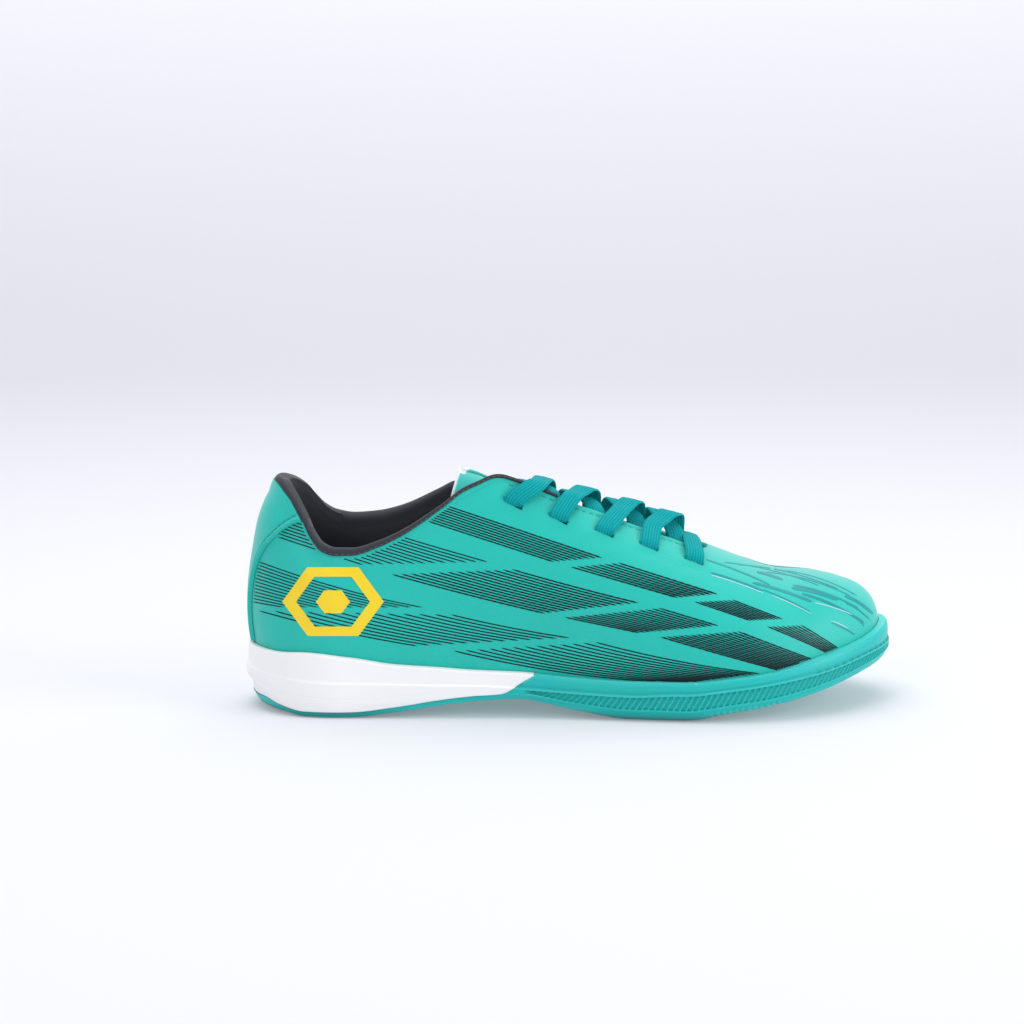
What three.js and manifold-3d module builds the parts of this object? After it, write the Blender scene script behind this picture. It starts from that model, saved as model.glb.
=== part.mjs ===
// A low indoor soccer shoe for the right foot, EU size 40, standing empty on its sole.
// Millimetres. +X runs to the toe, +Y to the inner side of the foot and +Z up; the origin is
// the middle of the footprint box on the floor.
//
// The upper is one smooth surface that is read at (u, side, t): u goes from the middle of the
// heel to the tip of the toe, side is -1 on the outer half and +1 on the inner half, and t climbs
// from the sole to the ridge. Every other piece takes its place from that surface or from the
// outline of the sole.

import * as THREE from "three";
import { mergeVertices } from "three/addons/utils/BufferGeometryUtils.js";
import Module from "manifold-3d";

const wasm = await Module();
wasm.setup();

// Driving sizes
const SOLE_LENGTH = 276;
const BALL_WIDTH = 94;
const HEEL_WIDTH = 67;
const SOLE_HEIGHT = 27; // top of the heel midsole above the floor
const ARCH_RISE = 7.4; // underside of the waist above the floor
const TOE_SPRING = 17.6; // underside of the toe tip above the floor
const INSTEP_HEIGHT = 98; // top corner of the quarters beside the tongue
const HEEL_HEIGHT = 96.5; // edge of the upper at the back of the heel

// Walls and clearances
const CLEARANCE = 0.3;
const UPPER_WALL = 2.2;
const FEATHER_INSET = 5.5; // foot of the upper inside the outline of the sole
const INSOLE_THICKNESS = 4;
const HEEL_TREAD = 2.2; // rubber under the heel midsole
const STAY_THICKNESS = 0.7;
const STAY_STAND = 0.5; // inner face off the skin, clear of its flat facets
const LINING_STAND = 0.6; // back of the lining off the wall's inner face
const TONGUE_THICKNESS = 3;

// Rounded ends of the sole, as shares of its length
const HEEL_ROUND = 0.15;
const TOE_ROUND = 0.24;

// Throat
const THROAT_END = 0.712;
const THROAT_ROUND = 0.03;

// Laces
const LACE_WIDTH = 8;
const LACE_THICKNESS = 1.5;
const LACE_RISE = 7.5; // loose arch of a strand above the edges of the throat
const SLOT_WIDTH = 2.4;
const SLOT_SLACK = 0.8; // a slot is so much longer than the lace is wide
// Each slot's share of the sole's length, how far it lies below the edge of the throat, and how
// far behind it, in shares, the strand from the slot before it on the other side goes down
const EYELETS = [
  [0.408, 11, 0.018],
  [0.476, 11, 0.018],
  [0.545, 11.3, 0.018],
  [0.613, 11.8, 0.018],
  [0.682, 13, 0.031],
];

// Ribs and tread
const RIB_PITCH = 2.6;
const RIB_WIDTH = 1.3;
const RIB_DEPTH = 0.9;
const RIB_LEAN = 1.6; // top of a rib ahead of its foot
const TREAD_DEPTH = 1.2;
const TREAD_GROOVE = 2;

// Tables read with a smooth curve

// Rows of named columns against the first column. The curve passes through every row and
// doesn't swing past it.
function table(names, rows) {
  const at = rows.map((row) => row[0]);
  const read = {};
  names.slice(1).forEach((name, k) => {
    read[name] = curveThrough(at, rows.map((row) => row[k + 1]));
  });
  return read;
}

function curveThrough(x, y) {
  const last = x.length - 1;
  const rise = x.slice(1).map((v, i) => (y[i + 1] - y[i]) / (v - x[i]));
  const tangent = x.map((v, i) => {
    if (i === 0) return rise[0];
    if (i === last) return rise[last - 1];
    const [before, after] = [rise[i - 1], rise[i]];
    return before * after <= 0 ? 0 : (2 * before * after) / (before + after);
  });
  return (at) => {
    const v = THREE.MathUtils.clamp(at, x[0], x[last]);
    let i = 0;
    while (i < last - 1 && v > x[i + 1]) i += 1;
    const span = x[i + 1] - x[i];
    const f = (v - x[i]) / span;
    const [f2, f3] = [f * f, f * f * f];
    return (
      y[i] * (2 * f3 - 3 * f2 + 1) + tangent[i] * span * (f3 - 2 * f2 + f) +
      y[i + 1] * (3 * f2 - 2 * f3) + tangent[i + 1] * span * (f3 - f2)
    );
  };
}

// Plan of the sole: a half width is so many heel widths and so many ball widths, and the
// centre line wanders by shares of the ball width.
const PLAN = table(["at", "heel", "ball", "centre"], [
  [0.15, 0.495, 0, -0.002],
  [0.25, 0.42, 0.052, -0.011],
  [0.35, 0.3, 0.1245, -0.03],
  [0.45, 0.17, 0.2245, -0.048],
  [0.55, 0.07, 0.338, -0.0585],
  [0.65, 0.02, 0.438, -0.0425],
  [0.72, 0, 0.489, -0.021],
  [0.78, 0, 0.498, 0.002],
  [0.84, 0, 0.498, 0.03],
  [0.9, 0, 0.498, 0.0585],
  [0.95, 0, 0.498, 0.087],
  [1, 0, 0.498, 0.106],
]);

// Side of the sole. spring and arch are shares of the toe spring and the arch rise; the rest are
// shares of the sole's height: edge is the outer bottom edge above the underside, step the ledge
// round the wall, top the upper edge of the wall and bed the plane that the foot stands on.
const SOLE = table(["at", "spring", "arch", "edge", "step", "top", "bed"], [
  [0, 0, 0.27, 0.35, 0.648, 0.993, 0.741],
  [0.045, 0, 0.08, 0.17, 0.593, 0.975, 0.726],
  [0.09, 0, 0, 0.02, 0.556, 1, 0.715],
  [0.16, 0, 0, 0.022, 0.533, 0.933, 0.681],
  [0.225, 0, 0.24, 0.03, 0.519, 0.826, 0.63],
  [0.29, 0, 0.6, 0.037, 0.504, 0.778, 0.548],
  [0.35, 0, 0.86, 0.041, 0.496, 0.73, 0.489],
  [0.414, 0, 1, 0.056, 0.47, 0.707, 0.444],
  [0.492, 0, 0.46, 0.081, 0.422, 0.644, 0.385],
  [0.58, 0, 0, 0.119, 0.396, 0.611, 0.333],
  [0.66, 0, 0, 0.111, 0.433, 0.611, 0.326],
  [0.733, 0.16, 0, 0.104, 0.407, 0.567, 0.267],
  [0.801, 0.318, 0, 0.089, 0.385, 0.541, 0.259],
  [0.882, 0.568, 0, 0.089, 0.341, 0.556, 0.259],
  [0.957, 0.858, 0, 0.089, 0.3, 0.519, 0.226],
  [1, 1, 0, 0.111, 0.267, 0.57, 0.193],
]);

// Sections of the upper at shares of the length. spine is where the section meets the ridge, so
// the sections fan out round the heel and the toe; ridge is a share of the instep height, centre
// of the ball width and belly of the heel width; rise and reach shape the wall and the shoulder.
const LAST = table(["at", "spine", "ridge", "centre", "belly", "rise", "reach"], [
  [0, 0.144, 1.306, 0, 0.216, 0.35, 0.53],
  [0.06, 0.154, 1.306, 0, 0.165, 0.36, 0.62],
  [0.12, 0.173, 1.306, 0, 0.125, 0.38, 0.71],
  [0.2, 0.212, 1.295, 0, 0.1, 0.42, 0.75],
  [0.3, 0.3, 1.24, 0, 0.09, 0.48, 0.76],
  [0.365, 0.365, 1.175, 0.01, 0.09, 0.52, 0.76],
  [0.42, 0.42, 1.085, 0.015, 0.09, 0.52, 0.77],
  [0.5, 0.5, 0.948, 0.016, 0.09, 0.52, 0.77],
  [0.55, 0.55, 0.878, 0.016, 0.09, 0.52, 0.77],
  [0.61, 0.61, 0.797, 0.018, 0.09, 0.52, 0.76],
  [0.68, 0.68, 0.711, 0.021, 0.085, 0.52, 0.75],
  [0.72, 0.72, 0.645, 0.026, 0.08, 0.52, 0.74],
  [0.77, 0.768, 0.572, 0.034, 0.07, 0.53, 0.73],
  [0.82, 0.814, 0.508, 0.043, 0.06, 0.55, 0.72],
  [0.85, 0.84, 0.485, 0.05, 0.052, 0.56, 0.72],
  [0.9, 0.87, 0.458, 0.062, 0.048, 0.58, 0.73],
  [0.95, 0.896, 0.428, 0.078, 0.045, 0.6, 0.74],
  [1, 0.925, 0.385, 0.094, 0.045, 0.6, 0.75],
]);

// Edge of the upper round the ankle, as shares of the heel height, and the corner of the quarters
const COLLAR = table(["at", "outer", "inner"], [
  [0, 1, 1],
  [0.05, 0.998, 0.998],
  [0.068, 0.955, 0.978],
  [0.09, 0.868, 0.932],
  [0.105, 0.79, 0.878],
  [0.12, 0.742, 0.832],
  [0.14, 0.723, 0.8],
  [0.165, 0.723, 0.788],
  [0.204, 0.755, 0.798],
  [0.24, 0.802, 0.825],
  [0.3, 0.912, 0.91],
  [0.34, 0.992, 0.975],
  [0.368, 1.015, 0.995],
  [0.4, 1.3, 1.3],
]);

// Half the width of the throat, as shares of the ball width
const THROAT = table(["at", "half"], [
  [0.345, 0.22],
  [0.375, 0.2],
  [0.45, 0.18],
  [0.55, 0.154],
  [0.68, 0.124],
]);

// Tongue: how far its middle hangs below the ridge and how far it spreads, in shares of the
// instep height and of the ball width, and how far its sides lie inside the skin, in wall
// thicknesses
const TONGUE = table(["at", "drop", "half", "side"], [
  [0.32, 0.205, 0.25, 3.6],
  [0.345, 0.208, 0.25, 3.2],
  [0.38, 0.19, 0.26, 2.7],
  [0.43, 0.15, 0.26, 2.5],
  [0.5, 0.1, 0.24, 2.4],
  [0.55, 0.075, 0.23, 2.3],
  [0.62, 0.055, 0.21, 2.3],
  [0.75, 0.05, 0.17, 2.3],
]);

// The outline of the sole and the surface of the upper

const xAt = (share) => (share - 0.5) * SOLE_LENGTH;
const shareOf = (x) => x / SOLE_LENGTH + 0.5;
const lift = (share) => TOE_SPRING * SOLE.spring(share);
const underside = (share) => lift(share) + ARCH_RISE * SOLE.arch(share);
const edgeHeight = (share) => underside(share) + SOLE_HEIGHT * SOLE.edge(share);
const stepHeight = (share) => lift(share) + SOLE_HEIGHT * SOLE.step(share);
const wallTop = (share) => lift(share) + SOLE_HEIGHT * SOLE.top(share);
const bedHeight = (share) => lift(share) + SOLE_HEIGHT * SOLE.bed(share);
const ridgeHeight = (share) => lift(LAST.spine(share)) + INSTEP_HEIGHT * LAST.ridge(share);

// u runs evenly round the outline: a quarter turn at the heel, the side, a quarter turn at the toe
const U_HEEL = 0.18;
const U_TOE = 0.715;
const QUARTER = Math.PI / 2;

function shareAt(u) {
  if (u < U_HEEL) return HEEL_ROUND * (1 - Math.cos((QUARTER * u) / U_HEEL));
  if (u > U_TOE) return 1 - TOE_ROUND * (1 - Math.sin((QUARTER * (u - U_TOE)) / (1 - U_TOE)));
  return THREE.MathUtils.mapLinear(u, U_HEEL, U_TOE, HEEL_ROUND, 1 - TOE_ROUND);
}

function stepAt(share) {
  if (share < HEEL_ROUND) return (U_HEEL * Math.acos(1 - share / HEEL_ROUND)) / QUARTER;
  if (share > 1 - TOE_ROUND)
    return U_TOE + ((1 - U_TOE) * Math.asin(1 - (1 - share) / TOE_ROUND)) / QUARTER;
  return THREE.MathUtils.mapLinear(share, HEEL_ROUND, 1 - TOE_ROUND, U_HEEL, U_TOE);
}

function halfWidth(share) {
  const full = PLAN.heel(share) * HEEL_WIDTH + PLAN.ball(share) * BALL_WIDTH;
  const back = Math.max(0, 1 - share / HEEL_ROUND);
  const front = Math.max(0, (share - 1) / TOE_ROUND + 1);
  return full * Math.sqrt(Math.max(0, 1 - back ** 2)) * Math.sqrt(Math.max(0, 1 - front ** 2));
}

function planPoint(u, side) {
  const share = shareAt(u);
  const centre = PLAN.centre(share) * BALL_WIDTH * (share < HEEL_ROUND ? share / HEEL_ROUND : 1);
  return new THREE.Vector2(xAt(share), centre + side * halfWidth(share));
}

// Outward direction of the outline in plan
function planNormal(u, side) {
  if (u <= 0) return new THREE.Vector2(-1, 0);
  if (u >= 1) return new THREE.Vector2(1, 0);
  const h = 1e-3;
  const ahead = planPoint(Math.min(1, u + h), side);
  const tangent = ahead.sub(planPoint(Math.max(0, u - h), side)).normalize();
  return new THREE.Vector2(-side * tangent.y, side * tangent.x);
}

function outline(u, side, inset, z) {
  const p = planPoint(u, side).addScaledVector(planNormal(u, side), -inset);
  return new THREE.Vector3(p.x, p.y, z);
}

function ridgePoint(share) {
  return new THREE.Vector3(
    xAt(LAST.spine(share)), LAST.centre(share) * BALL_WIDTH, ridgeHeight(share),
  );
}

// Slope of the ridge along the foot; the heel has no ridge, so it is level there
function ridgeSlope(share) {
  if (share < 0.4) return 0;
  const [a, b] = [ridgePoint(Math.max(0.4, share - 0.02)), ridgePoint(Math.min(1, share + 0.02))];
  return (b.z - a.z) / (b.x - a.x);
}

// Both halves share one section in the middle of the heel and one at the tip of the toe
const shared = (u, side) => (u <= 0 || u >= 1 ? 1 : side);

const sections = new Map();

// One section of the upper from its foot, over the belly and the shoulder, to the ridge
function section(u, half) {
  const side = shared(u, half);
  const key = `${side}:${u.toFixed(6)}`;
  if (!sections.has(key)) {
    const share = shareAt(u);
    const foot = outline(u, side, FEATHER_INSET, bedHeight(share));
    const top = ridgePoint(share);
    const normal = planNormal(u, side).multiplyScalar(LAST.belly(share) * HEEL_WIDTH);
    const belly = new THREE.Vector3(
      foot.x + normal.x, foot.y + normal.y,
      THREE.MathUtils.lerp(foot.z, top.z, LAST.rise(share)),
    );
    const shoulder = top.clone().lerp(foot, LAST.reach(share));
    shoulder.z = top.z + ridgeSlope(share) * (shoulder.x - top.x);
    sections.set(key, new THREE.CubicBezierCurve3(foot, belly, shoulder, top));
  }
  return sections.get(key);
}

function skinNormal(u, side, t) {
  const h = 2e-3;
  if (t > 0.999 && shareAt(u) > 0.4)
    return new THREE.Vector3(-ridgeSlope(shareAt(u)), 0, 1).normalize();
  const climb = section(u, side).getPoint(Math.min(1, t + h))
    .sub(section(u, side).getPoint(Math.max(0, t - h)));
  if (u <= 0) return new THREE.Vector3(-climb.z, 0, climb.x).normalize();
  if (u >= 1) return new THREE.Vector3(climb.z, 0, -climb.x).normalize();
  const along = section(Math.min(1, u + h), side).getPoint(t)
    .sub(section(Math.max(0, u - h), side).getPoint(t));
  return along.cross(climb).multiplyScalar(-side).normalize();
}

// A point on the upper, or beside it by the given distance outwards
function skin(u, side, t, out = 0) {
  const p = section(u, side).getPoint(t);
  return out === 0 ? p : p.addScaledVector(skinNormal(u, side, t), out);
}

// First t from the sole upwards at which test turns positive
function climbUntil(test) {
  let [low, high] = [0, 1];
  for (let i = 1; i <= 40; i += 1) {
    if (test(i / 40) > 0) {
      [low, high] = [(i - 1) / 40, i / 40];
      break;
    }
    if (i === 40) return 1;
  }
  for (let i = 0; i < 30; i += 1) {
    const middle = (low + high) / 2;
    if (test(middle) > 0) high = middle;
    else low = middle;
  }
  return high;
}

// Half the width of the throat at a place along the foot, closing in a round end at the toe side
function throatHalf(share) {
  const close = Math.max(0, (share - THROAT_END) / THROAT_ROUND + 1);
  return THROAT.half(share) * BALL_WIDTH * Math.sqrt(Math.max(0, 1 - close ** 2));
}

const edges = new Map();

// t of the upper's free edge: the collar behind, the throat in front, the ridge over the vamp
function edgeAt(u, half) {
  const side = shared(u, half);
  const key = `${side}:${u.toFixed(6)}`;
  if (!edges.has(key)) {
    const middle = LAST.centre(shareAt(u)) * BALL_WIDTH;
    const rim = side < 0 ? COLLAR.outer : COLLAR.inner;
    edges.set(key, climbUntil((t) => {
      const p = skin(u, side, t);
      const share = shareOf(p.x);
      const over = p.z - HEEL_HEIGHT * rim(share);
      const inside = share > THROAT_END ? -1 : throatHalf(share) - Math.abs(p.y - middle);
      return share < 0.33 ? over : Math.max(over, inside);
    }));
  }
  return edges.get(key);
}

// t at which the skin, moved outwards by out, passes a height
const heightAt = (u, side, z, out = 0) => climbUntil((t) => skin(u, side, t, out).z - z);

// t at a distance below the free edge, measured on the skin; a negative one lies above the edge
function below(u, side, distance) {
  const steps = 12;
  let t = edgeAt(u, side);
  for (let i = 0; i < steps; i += 1) {
    const h = 1e-3;
    const pace = skin(u, side, Math.min(1, t + h)).distanceTo(skin(u, side, Math.max(0, t - h)));
    t = THREE.MathUtils.clamp(t - ((distance / steps) * 2 * h) / pace, 0, 1);
  }
  return t;
}

// Solids from points

function signedVolume(points, triangles) {
  return triangles.reduce((sum, [a, b, c]) => {
    const cross = new THREE.Vector3().crossVectors(points[b], points[c]);
    return sum + points[a].dot(cross) / 6;
  }, 0);
}

// A closed geometry with its faces turned outwards
function closed(points, triangles) {
  const index = signedVolume(points, triangles) < 0
    ? triangles.map(([a, b, c]) => [a, c, b])
    : triangles;
  const geometry = new THREE.BufferGeometry().setFromPoints(points);
  geometry.setIndex(index.flat());
  return geometry;
}

// Points at the same place become one, and triangles that vanish by it are dropped
function welded(points, triangles) {
  const seen = new Map();
  const kept = [];
  const name = points.map((p) => {
    const key = [p.x, p.y, p.z].map((v) => Math.round(v * 1e3)).join();
    if (!seen.has(key)) seen.set(key, kept.push(p) - 1);
    return seen.get(key);
  });
  const whole = triangles
    .map((triangle) => triangle.map((i) => name[i]))
    .filter(([a, b, c]) => a !== b && b !== c && c !== a);
  return { points: kept, triangles: whole };
}

// Skin between closed rings of equal size. The ends stay open where the rings have shrunk to a
// seam, and are closed by the triangles of the cap otherwise.
function loft(rings, cap = []) {
  const size = rings[0].length;
  const triangles = [];
  for (let i = 0; i < rings.length - 1; i += 1)
    for (let j = 0; j < size; j += 1) {
      const [a, b] = [i * size + j, i * size + ((j + 1) % size)];
      triangles.push([a, b, b + size], [a, b + size, a + size]);
    }
  const far = (rings.length - 1) * size;
  cap.forEach(([a, b, c]) => {
    triangles.push([a, c, b], [far + a, far + b, far + c]);
  });
  const sewn = welded(rings.flat(), triangles);
  return closed(sewn.points, sewn.triangles);
}

// Triangles of a flat outline given as [x, y] pairs
function capOf(pairs) {
  const flat = pairs.map(([x, y]) => new THREE.Vector2(x, y));
  const faces = THREE.ShapeUtils.triangulateShape(flat, []);
  return THREE.ShapeUtils.isClockWise(flat) ? faces.map(([a, b, c]) => [a, c, b]) : faces;
}

// A sheet with a face on either side, closed along whatever edges it has. Each grid is rows of
// [outer, inner] pairs; grids that share an edge grow together there.
function sheet(grids) {
  const pairs = [];
  const triangles = [];
  grids.forEach(({ rows, flip }) => {
    const start = pairs.length;
    const width = rows[0].length;
    rows.flat().forEach((pair) => pairs.push(pair));
    for (let i = 0; i < rows.length - 1; i += 1)
      for (let j = 0; j < width - 1; j += 1) {
        const a = start + i * width + j;
        const quad = [[a, a + 1, a + 1 + width], [a, a + 1 + width, a + width]];
        quad.forEach(([p, q, r]) => triangles.push(flip ? [p, r, q] : [p, q, r]));
      }
  });
  const sewn = welded(pairs.map(([outer]) => Object.assign(outer.clone(), { pair: outer })), triangles);
  const innerOf = new Map(pairs.map(([outer, inner]) => [outer, inner]));
  const count = sewn.points.length;
  const points = [...sewn.points, ...sewn.points.map((p) => innerOf.get(p.pair))];
  const faces = [...sewn.triangles];
  sewn.triangles.forEach(([a, b, c]) => faces.push([a + count, c + count, b + count]));
  const directed = new Set(sewn.triangles.flatMap(([a, b, c]) => [`${a}>${b}`, `${b}>${c}`, `${c}>${a}`]));
  directed.forEach((edge) => {
    const [a, b] = edge.split(">").map(Number);
    if (!directed.has(`${b}>${a}`)) faces.push([a, b + count, b], [a, a + count, b + count]);
  });
  return closed(points, faces);
}

function solidFrom(geometry) {
  const bare = new THREE.BufferGeometry().setAttribute("position", geometry.getAttribute("position"));
  bare.setIndex(geometry.getIndex());
  const merged = mergeVertices(bare, 1e-4);
  return new wasm.Manifold(new wasm.Mesh({
    numProp: 3,
    vertProperties: merged.getAttribute("position").array,
    triVerts: new Uint32Array(merged.getIndex().array),
  }));
}

function geometryFrom(solid) {
  const mesh = solid.getMesh();
  const geometry = new THREE.BufferGeometry();
  geometry.setAttribute("position", new THREE.BufferAttribute(mesh.vertProperties, 3));
  geometry.setIndex(new THREE.BufferAttribute(mesh.triVerts, 1));
  return geometry;
}

const joined = (solids) => solids.reduce((all, one) => all.add(one));

// Stations along the foot

const evenly = (from, to, count) =>
  Array.from({ length: count + 1 }, (_, i) => THREE.MathUtils.lerp(from, to, i / count));

const throatStations = [0, 0.35, 0.7, 1]
  .map((k) => stepAt(THROAT_END - THROAT_ROUND * (1 - Math.sin(QUARTER * k)) + 1e-4));
const STATIONS = [
  ...evenly(0, U_HEEL, 12),
  ...evenly(U_HEEL, throatStations[0], 15).slice(1),
  ...throatStations.slice(1),
  ...evenly(throatStations[3], 1, 12).slice(1),
];

// Pieces

// The whole sole as one block: underside, rounded edge, ledge, wall, and the cup for the upper
function soleBlock() {
  const EDGE_IN = 6; // flat of the underside inside the outline
  const EDGE_SIDE = 0.5; // lower edge of the wall inside the outline, and more where it is steep
  const EDGE_STEEP = 0.2;
  const WALL_FOOT = 0.35; // where the wall stands full, as a share of the way up to the ledge
  const LEDGE = 0.7;
  const RAND_INSET = 1;
  const LIP_INSET = 1.8; // the rand's rounded top edge, and how far down it begins
  const LIP_ROUND = 0.8;
  const rings = STATIONS.map((u) => {
    const share = shareAt(u);
    const half = (side) => {
      const top = wallTop(share);
      const floor = bedHeight(share) - CLEARANCE;
      const edge = edgeHeight(share);
      const rim = heightAt(u, side, top, CLEARANCE);
      const bottom = outline(u, side, EDGE_IN, underside(share));
      return [
        bottom,
        outline(u, side, EDGE_SIDE + (edge - underside(share)) * EDGE_STEEP, edge),
        outline(u, side, 0, THREE.MathUtils.lerp(edge, stepHeight(share), WALL_FOOT)),
        outline(u, side, 0, stepHeight(share)),
        outline(u, side, LEDGE, stepHeight(share) + LEDGE),
        outline(u, side, RAND_INSET, top - LIP_ROUND),
        outline(u, side, LIP_INSET, top),
        skin(u, side, rim, CLEARANCE),
        skin(u, side, rim * 0.5, CLEARANCE),
        skin(u, side, 0, CLEARANCE).setZ(floor),
      ];
    };
    const [outer, inner] = [half(-1), half(1).reverse()];
    return [...outer, ...inner];
  });
  return solidFrom(loft(rings));
}

// A prism across the whole sole over an outline of [share, height] points
function acrossSole(points, width = BALL_WIDTH * 1.5) {
  const shape = new THREE.Shape(points.map(([share, z]) => new THREE.Vector2(xAt(share), z)));
  const geometry = new THREE.ExtrudeGeometry(shape, { depth: width, bevelEnabled: false });
  geometry.rotateX(QUARTER);
  geometry.translate(0, width / 2, 0);
  ["normal", "uv"].forEach((name) => geometry.deleteAttribute(name));
  return solidFrom(mergeVertices(geometry, 1e-4));
}

// Side view of the line between the heel midsole and the rubber: a thin layer that follows the
// underside, then a slope up to the top of the wall
const WEDGE_END = 0.438;
const WEDGE_FOOT = 0.387;
const WEDGE_BEND = 0.036; // from the foot of the slope to where it steepens, and its rise there
const WEDGE_RISE = 5.6;
const LAYER_SINK = 0.4; // the layer's top below the full thickness of the rubber
const LAYER_START = 0.022; // the layer stays level behind this share and is full from the next
const LAYER_FULL = 0.09;

function wedgeProfile(raise) {
  const behind = [-0.05, 0.022, 0.05, 0.09, 0.16, 0.225, 0.29, 0.345].map((share) => {
    const at = Math.max(LAYER_START, share);
    return [share, edgeHeight(at) + HEEL_TREAD * Math.min(1, at / LAYER_FULL) - LAYER_SINK + raise];
  });
  const back = raise / SOLE_LENGTH;
  const [x, z] = [WEDGE_FOOT - back, edgeHeight(WEDGE_FOOT) + HEEL_TREAD - 1.5 * LAYER_SINK + raise];
  const slope = [[x, z], [x + WEDGE_BEND, z + WEDGE_RISE], [WEDGE_END - back, wallTop(WEDGE_END)]];
  const cap = [[WEDGE_END + 0.02 - back, SOLE_HEIGHT * 2], [-0.05, SOLE_HEIGHT * 2]];
  return [...behind, ...slope, ...cap];
}

// Slanted V grooves that leave the ribs of the front wall standing
function ribGrooves() {
  const [FOOT, HEAD] = [2.6, 0.5]; // above the lower edge of the wall, and below the ledge
  const PROUD = 0.6; // the open side of a groove's cutter, outside the wall
  const first = stepAt(WEDGE_FOOT + 0.03);
  const grooves = [];
  [-1, 1].forEach((side) => {
    let travelled = 0;
    let previous = planPoint(first, side);
    for (let u = first; u <= 1; u += 2e-4) {
      const here = planPoint(u, side);
      travelled += here.distanceTo(previous);
      previous = here;
      if (travelled < RIB_PITCH) continue;
      travelled -= RIB_PITCH;
      const share = shareAt(u);
      const [low, high] = [edgeHeight(share) + FOOT, stepHeight(share) - HEAD];
      const normal = planNormal(u, side);
      const ahead = new THREE.Vector3(side * normal.y, -side * normal.x, 0);
      const outward = new THREE.Vector3(normal.x, normal.y, 0);
      const corner = (z, along, out) => outline(u, side, 0, z)
        .addScaledVector(ahead, along + (RIB_LEAN * (z - low)) / (high - low))
        .addScaledVector(outward, out);
      const vee = (z) => [
        corner(z, -RIB_WIDTH / 2, PROUD), corner(z, 0, -RIB_DEPTH), corner(z, RIB_WIDTH / 2, PROUD),
      ];
      grooves.push(solidFrom(loft([vee(low), vee(high)], [[0, 1, 2]])));
    }
  });
  return grooves;
}

// Cuts across the underside that leave bars of tread standing
function treadGrooves() {
  const bars = [...evenly(0.52, 0.86, 7), ...evenly(0.06, 0.18, 3)];
  return bars.map((share) => {
    const wide = TREAD_GROOVE / SOLE_LENGTH / 2;
    const [back, front] = [share - wide, share + wide];
    const depth = (at) => underside(at) + TREAD_DEPTH;
    return acrossSole([[back, -5], [front, -5], [front, depth(front)], [back, depth(back)]]);
  });
}

// Footbed: a thin board whose edge follows the inside of the upper
function insoleGeometry() {
  const rings = STATIONS.map((u) => {
    const share = shareAt(u);
    const inset = FEATHER_INSET + UPPER_WALL + CLEARANCE * 1.5;
    const half = (side) => [
      outline(u, side, inset, bedHeight(share)),
      outline(u, side, inset, bedHeight(share) + INSOLE_THICKNESS),
    ];
    return [...half(-1), ...half(1).reverse()];
  });
  return loft(rings);
}

// Both halves of the upper, grown together behind the heel, over the vamp and at the toe
function upperBlank() {
  const ROWS = 8;
  const grids = [-1, 1].map((side) => ({
    flip: side > 0,
    rows: STATIONS.map((u) => {
      const edge = edgeAt(u, side);
      return evenly(0, edge, ROWS).map((t) => [skin(u, side, t), skin(u, side, t, -UPPER_WALL)]);
    }),
  }));
  return solidFrom(sheet(grids));
}

// Where a lace slot sits: its step, its t, and the frame of the skin there
function eyelet(k, side) {
  const [share, drop] = EYELETS[k];
  const u = stepAt(share);
  const t = below(u, side, drop);
  const h = 1e-3;
  const along = skin(u + h, side, t).sub(skin(u - h, side, t)).normalize();
  const climb = skin(u, side, t + h).sub(skin(u, side, t - h)).normalize();
  return { u, t, at: skin(u, side, t), along, climb, out: skinNormal(u, side, t) };
}

function laceSlot(k, side) {
  const { at, along, out } = eyelet(k, side);
  const box = new THREE.BoxGeometry(LACE_WIDTH + SLOT_SLACK, SLOT_WIDTH, UPPER_WALL * 4);
  box.applyMatrix4(frameOf(at, along, out));
  ["normal", "uv"].forEach((name) => box.deleteAttribute(name));
  return solidFrom(mergeVertices(box, 1e-4));
}

// A frame with X along the first direction and Z along the second
function frameOf(at, along, out) {
  const z = out.clone().normalize();
  const x = along.clone().addScaledVector(z, -along.dot(z)).normalize();
  const y = new THREE.Vector3().crossVectors(z, x);
  return new THREE.Matrix4().makeBasis(x, y, z).setPosition(at);
}

// Raised stay round the back of the heel, between the midsole and the collar's lip
const STAY = table(["at", "half"], [
  [0, 0.034],
  [0.25, 0.043],
  [0.42, 0.053],
  [0.56, 0.074],
  [0.68, 0.097],
  [0.82, 0.115],
  [1, 0.128],
]);

function heelStay() {
  const [ROWS, COLUMNS] = [8, 6];
  const grid = (side) => ({
    flip: side > 0,
    rows: evenly(0, 1, COLUMNS).map((across) => evenly(0, 1, ROWS).map((up) => {
      const u = across * STAY.half(up);
      const low = heightAt(u, side, wallTop(shareAt(u)) + 2 * CLEARANCE);
      const t = THREE.MathUtils.lerp(low, below(u, side, LIP + 2 * CLEARANCE), up);
      return [skin(u, side, t, STAY_STAND + STAY_THICKNESS), skin(u, side, t, STAY_STAND)];
    })),
  });
  return sheet([grid(-1), grid(1)]);
}

// Padded collar: a hook over the edge of the upper, thick round the heel and thin in the throat
const LIP = 2;
const PAD = table(["at", "thick", "deep"], [
  [0, 5.5, 40],
  [0.2, 5.5, 34],
  [0.28, 4, 28],
  [0.33, 2.2, 18],
  [0.37, 1.4, 9],
  [0.5, 1.2, 7],
]);
const COLLAR_END = 0.475;

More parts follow.
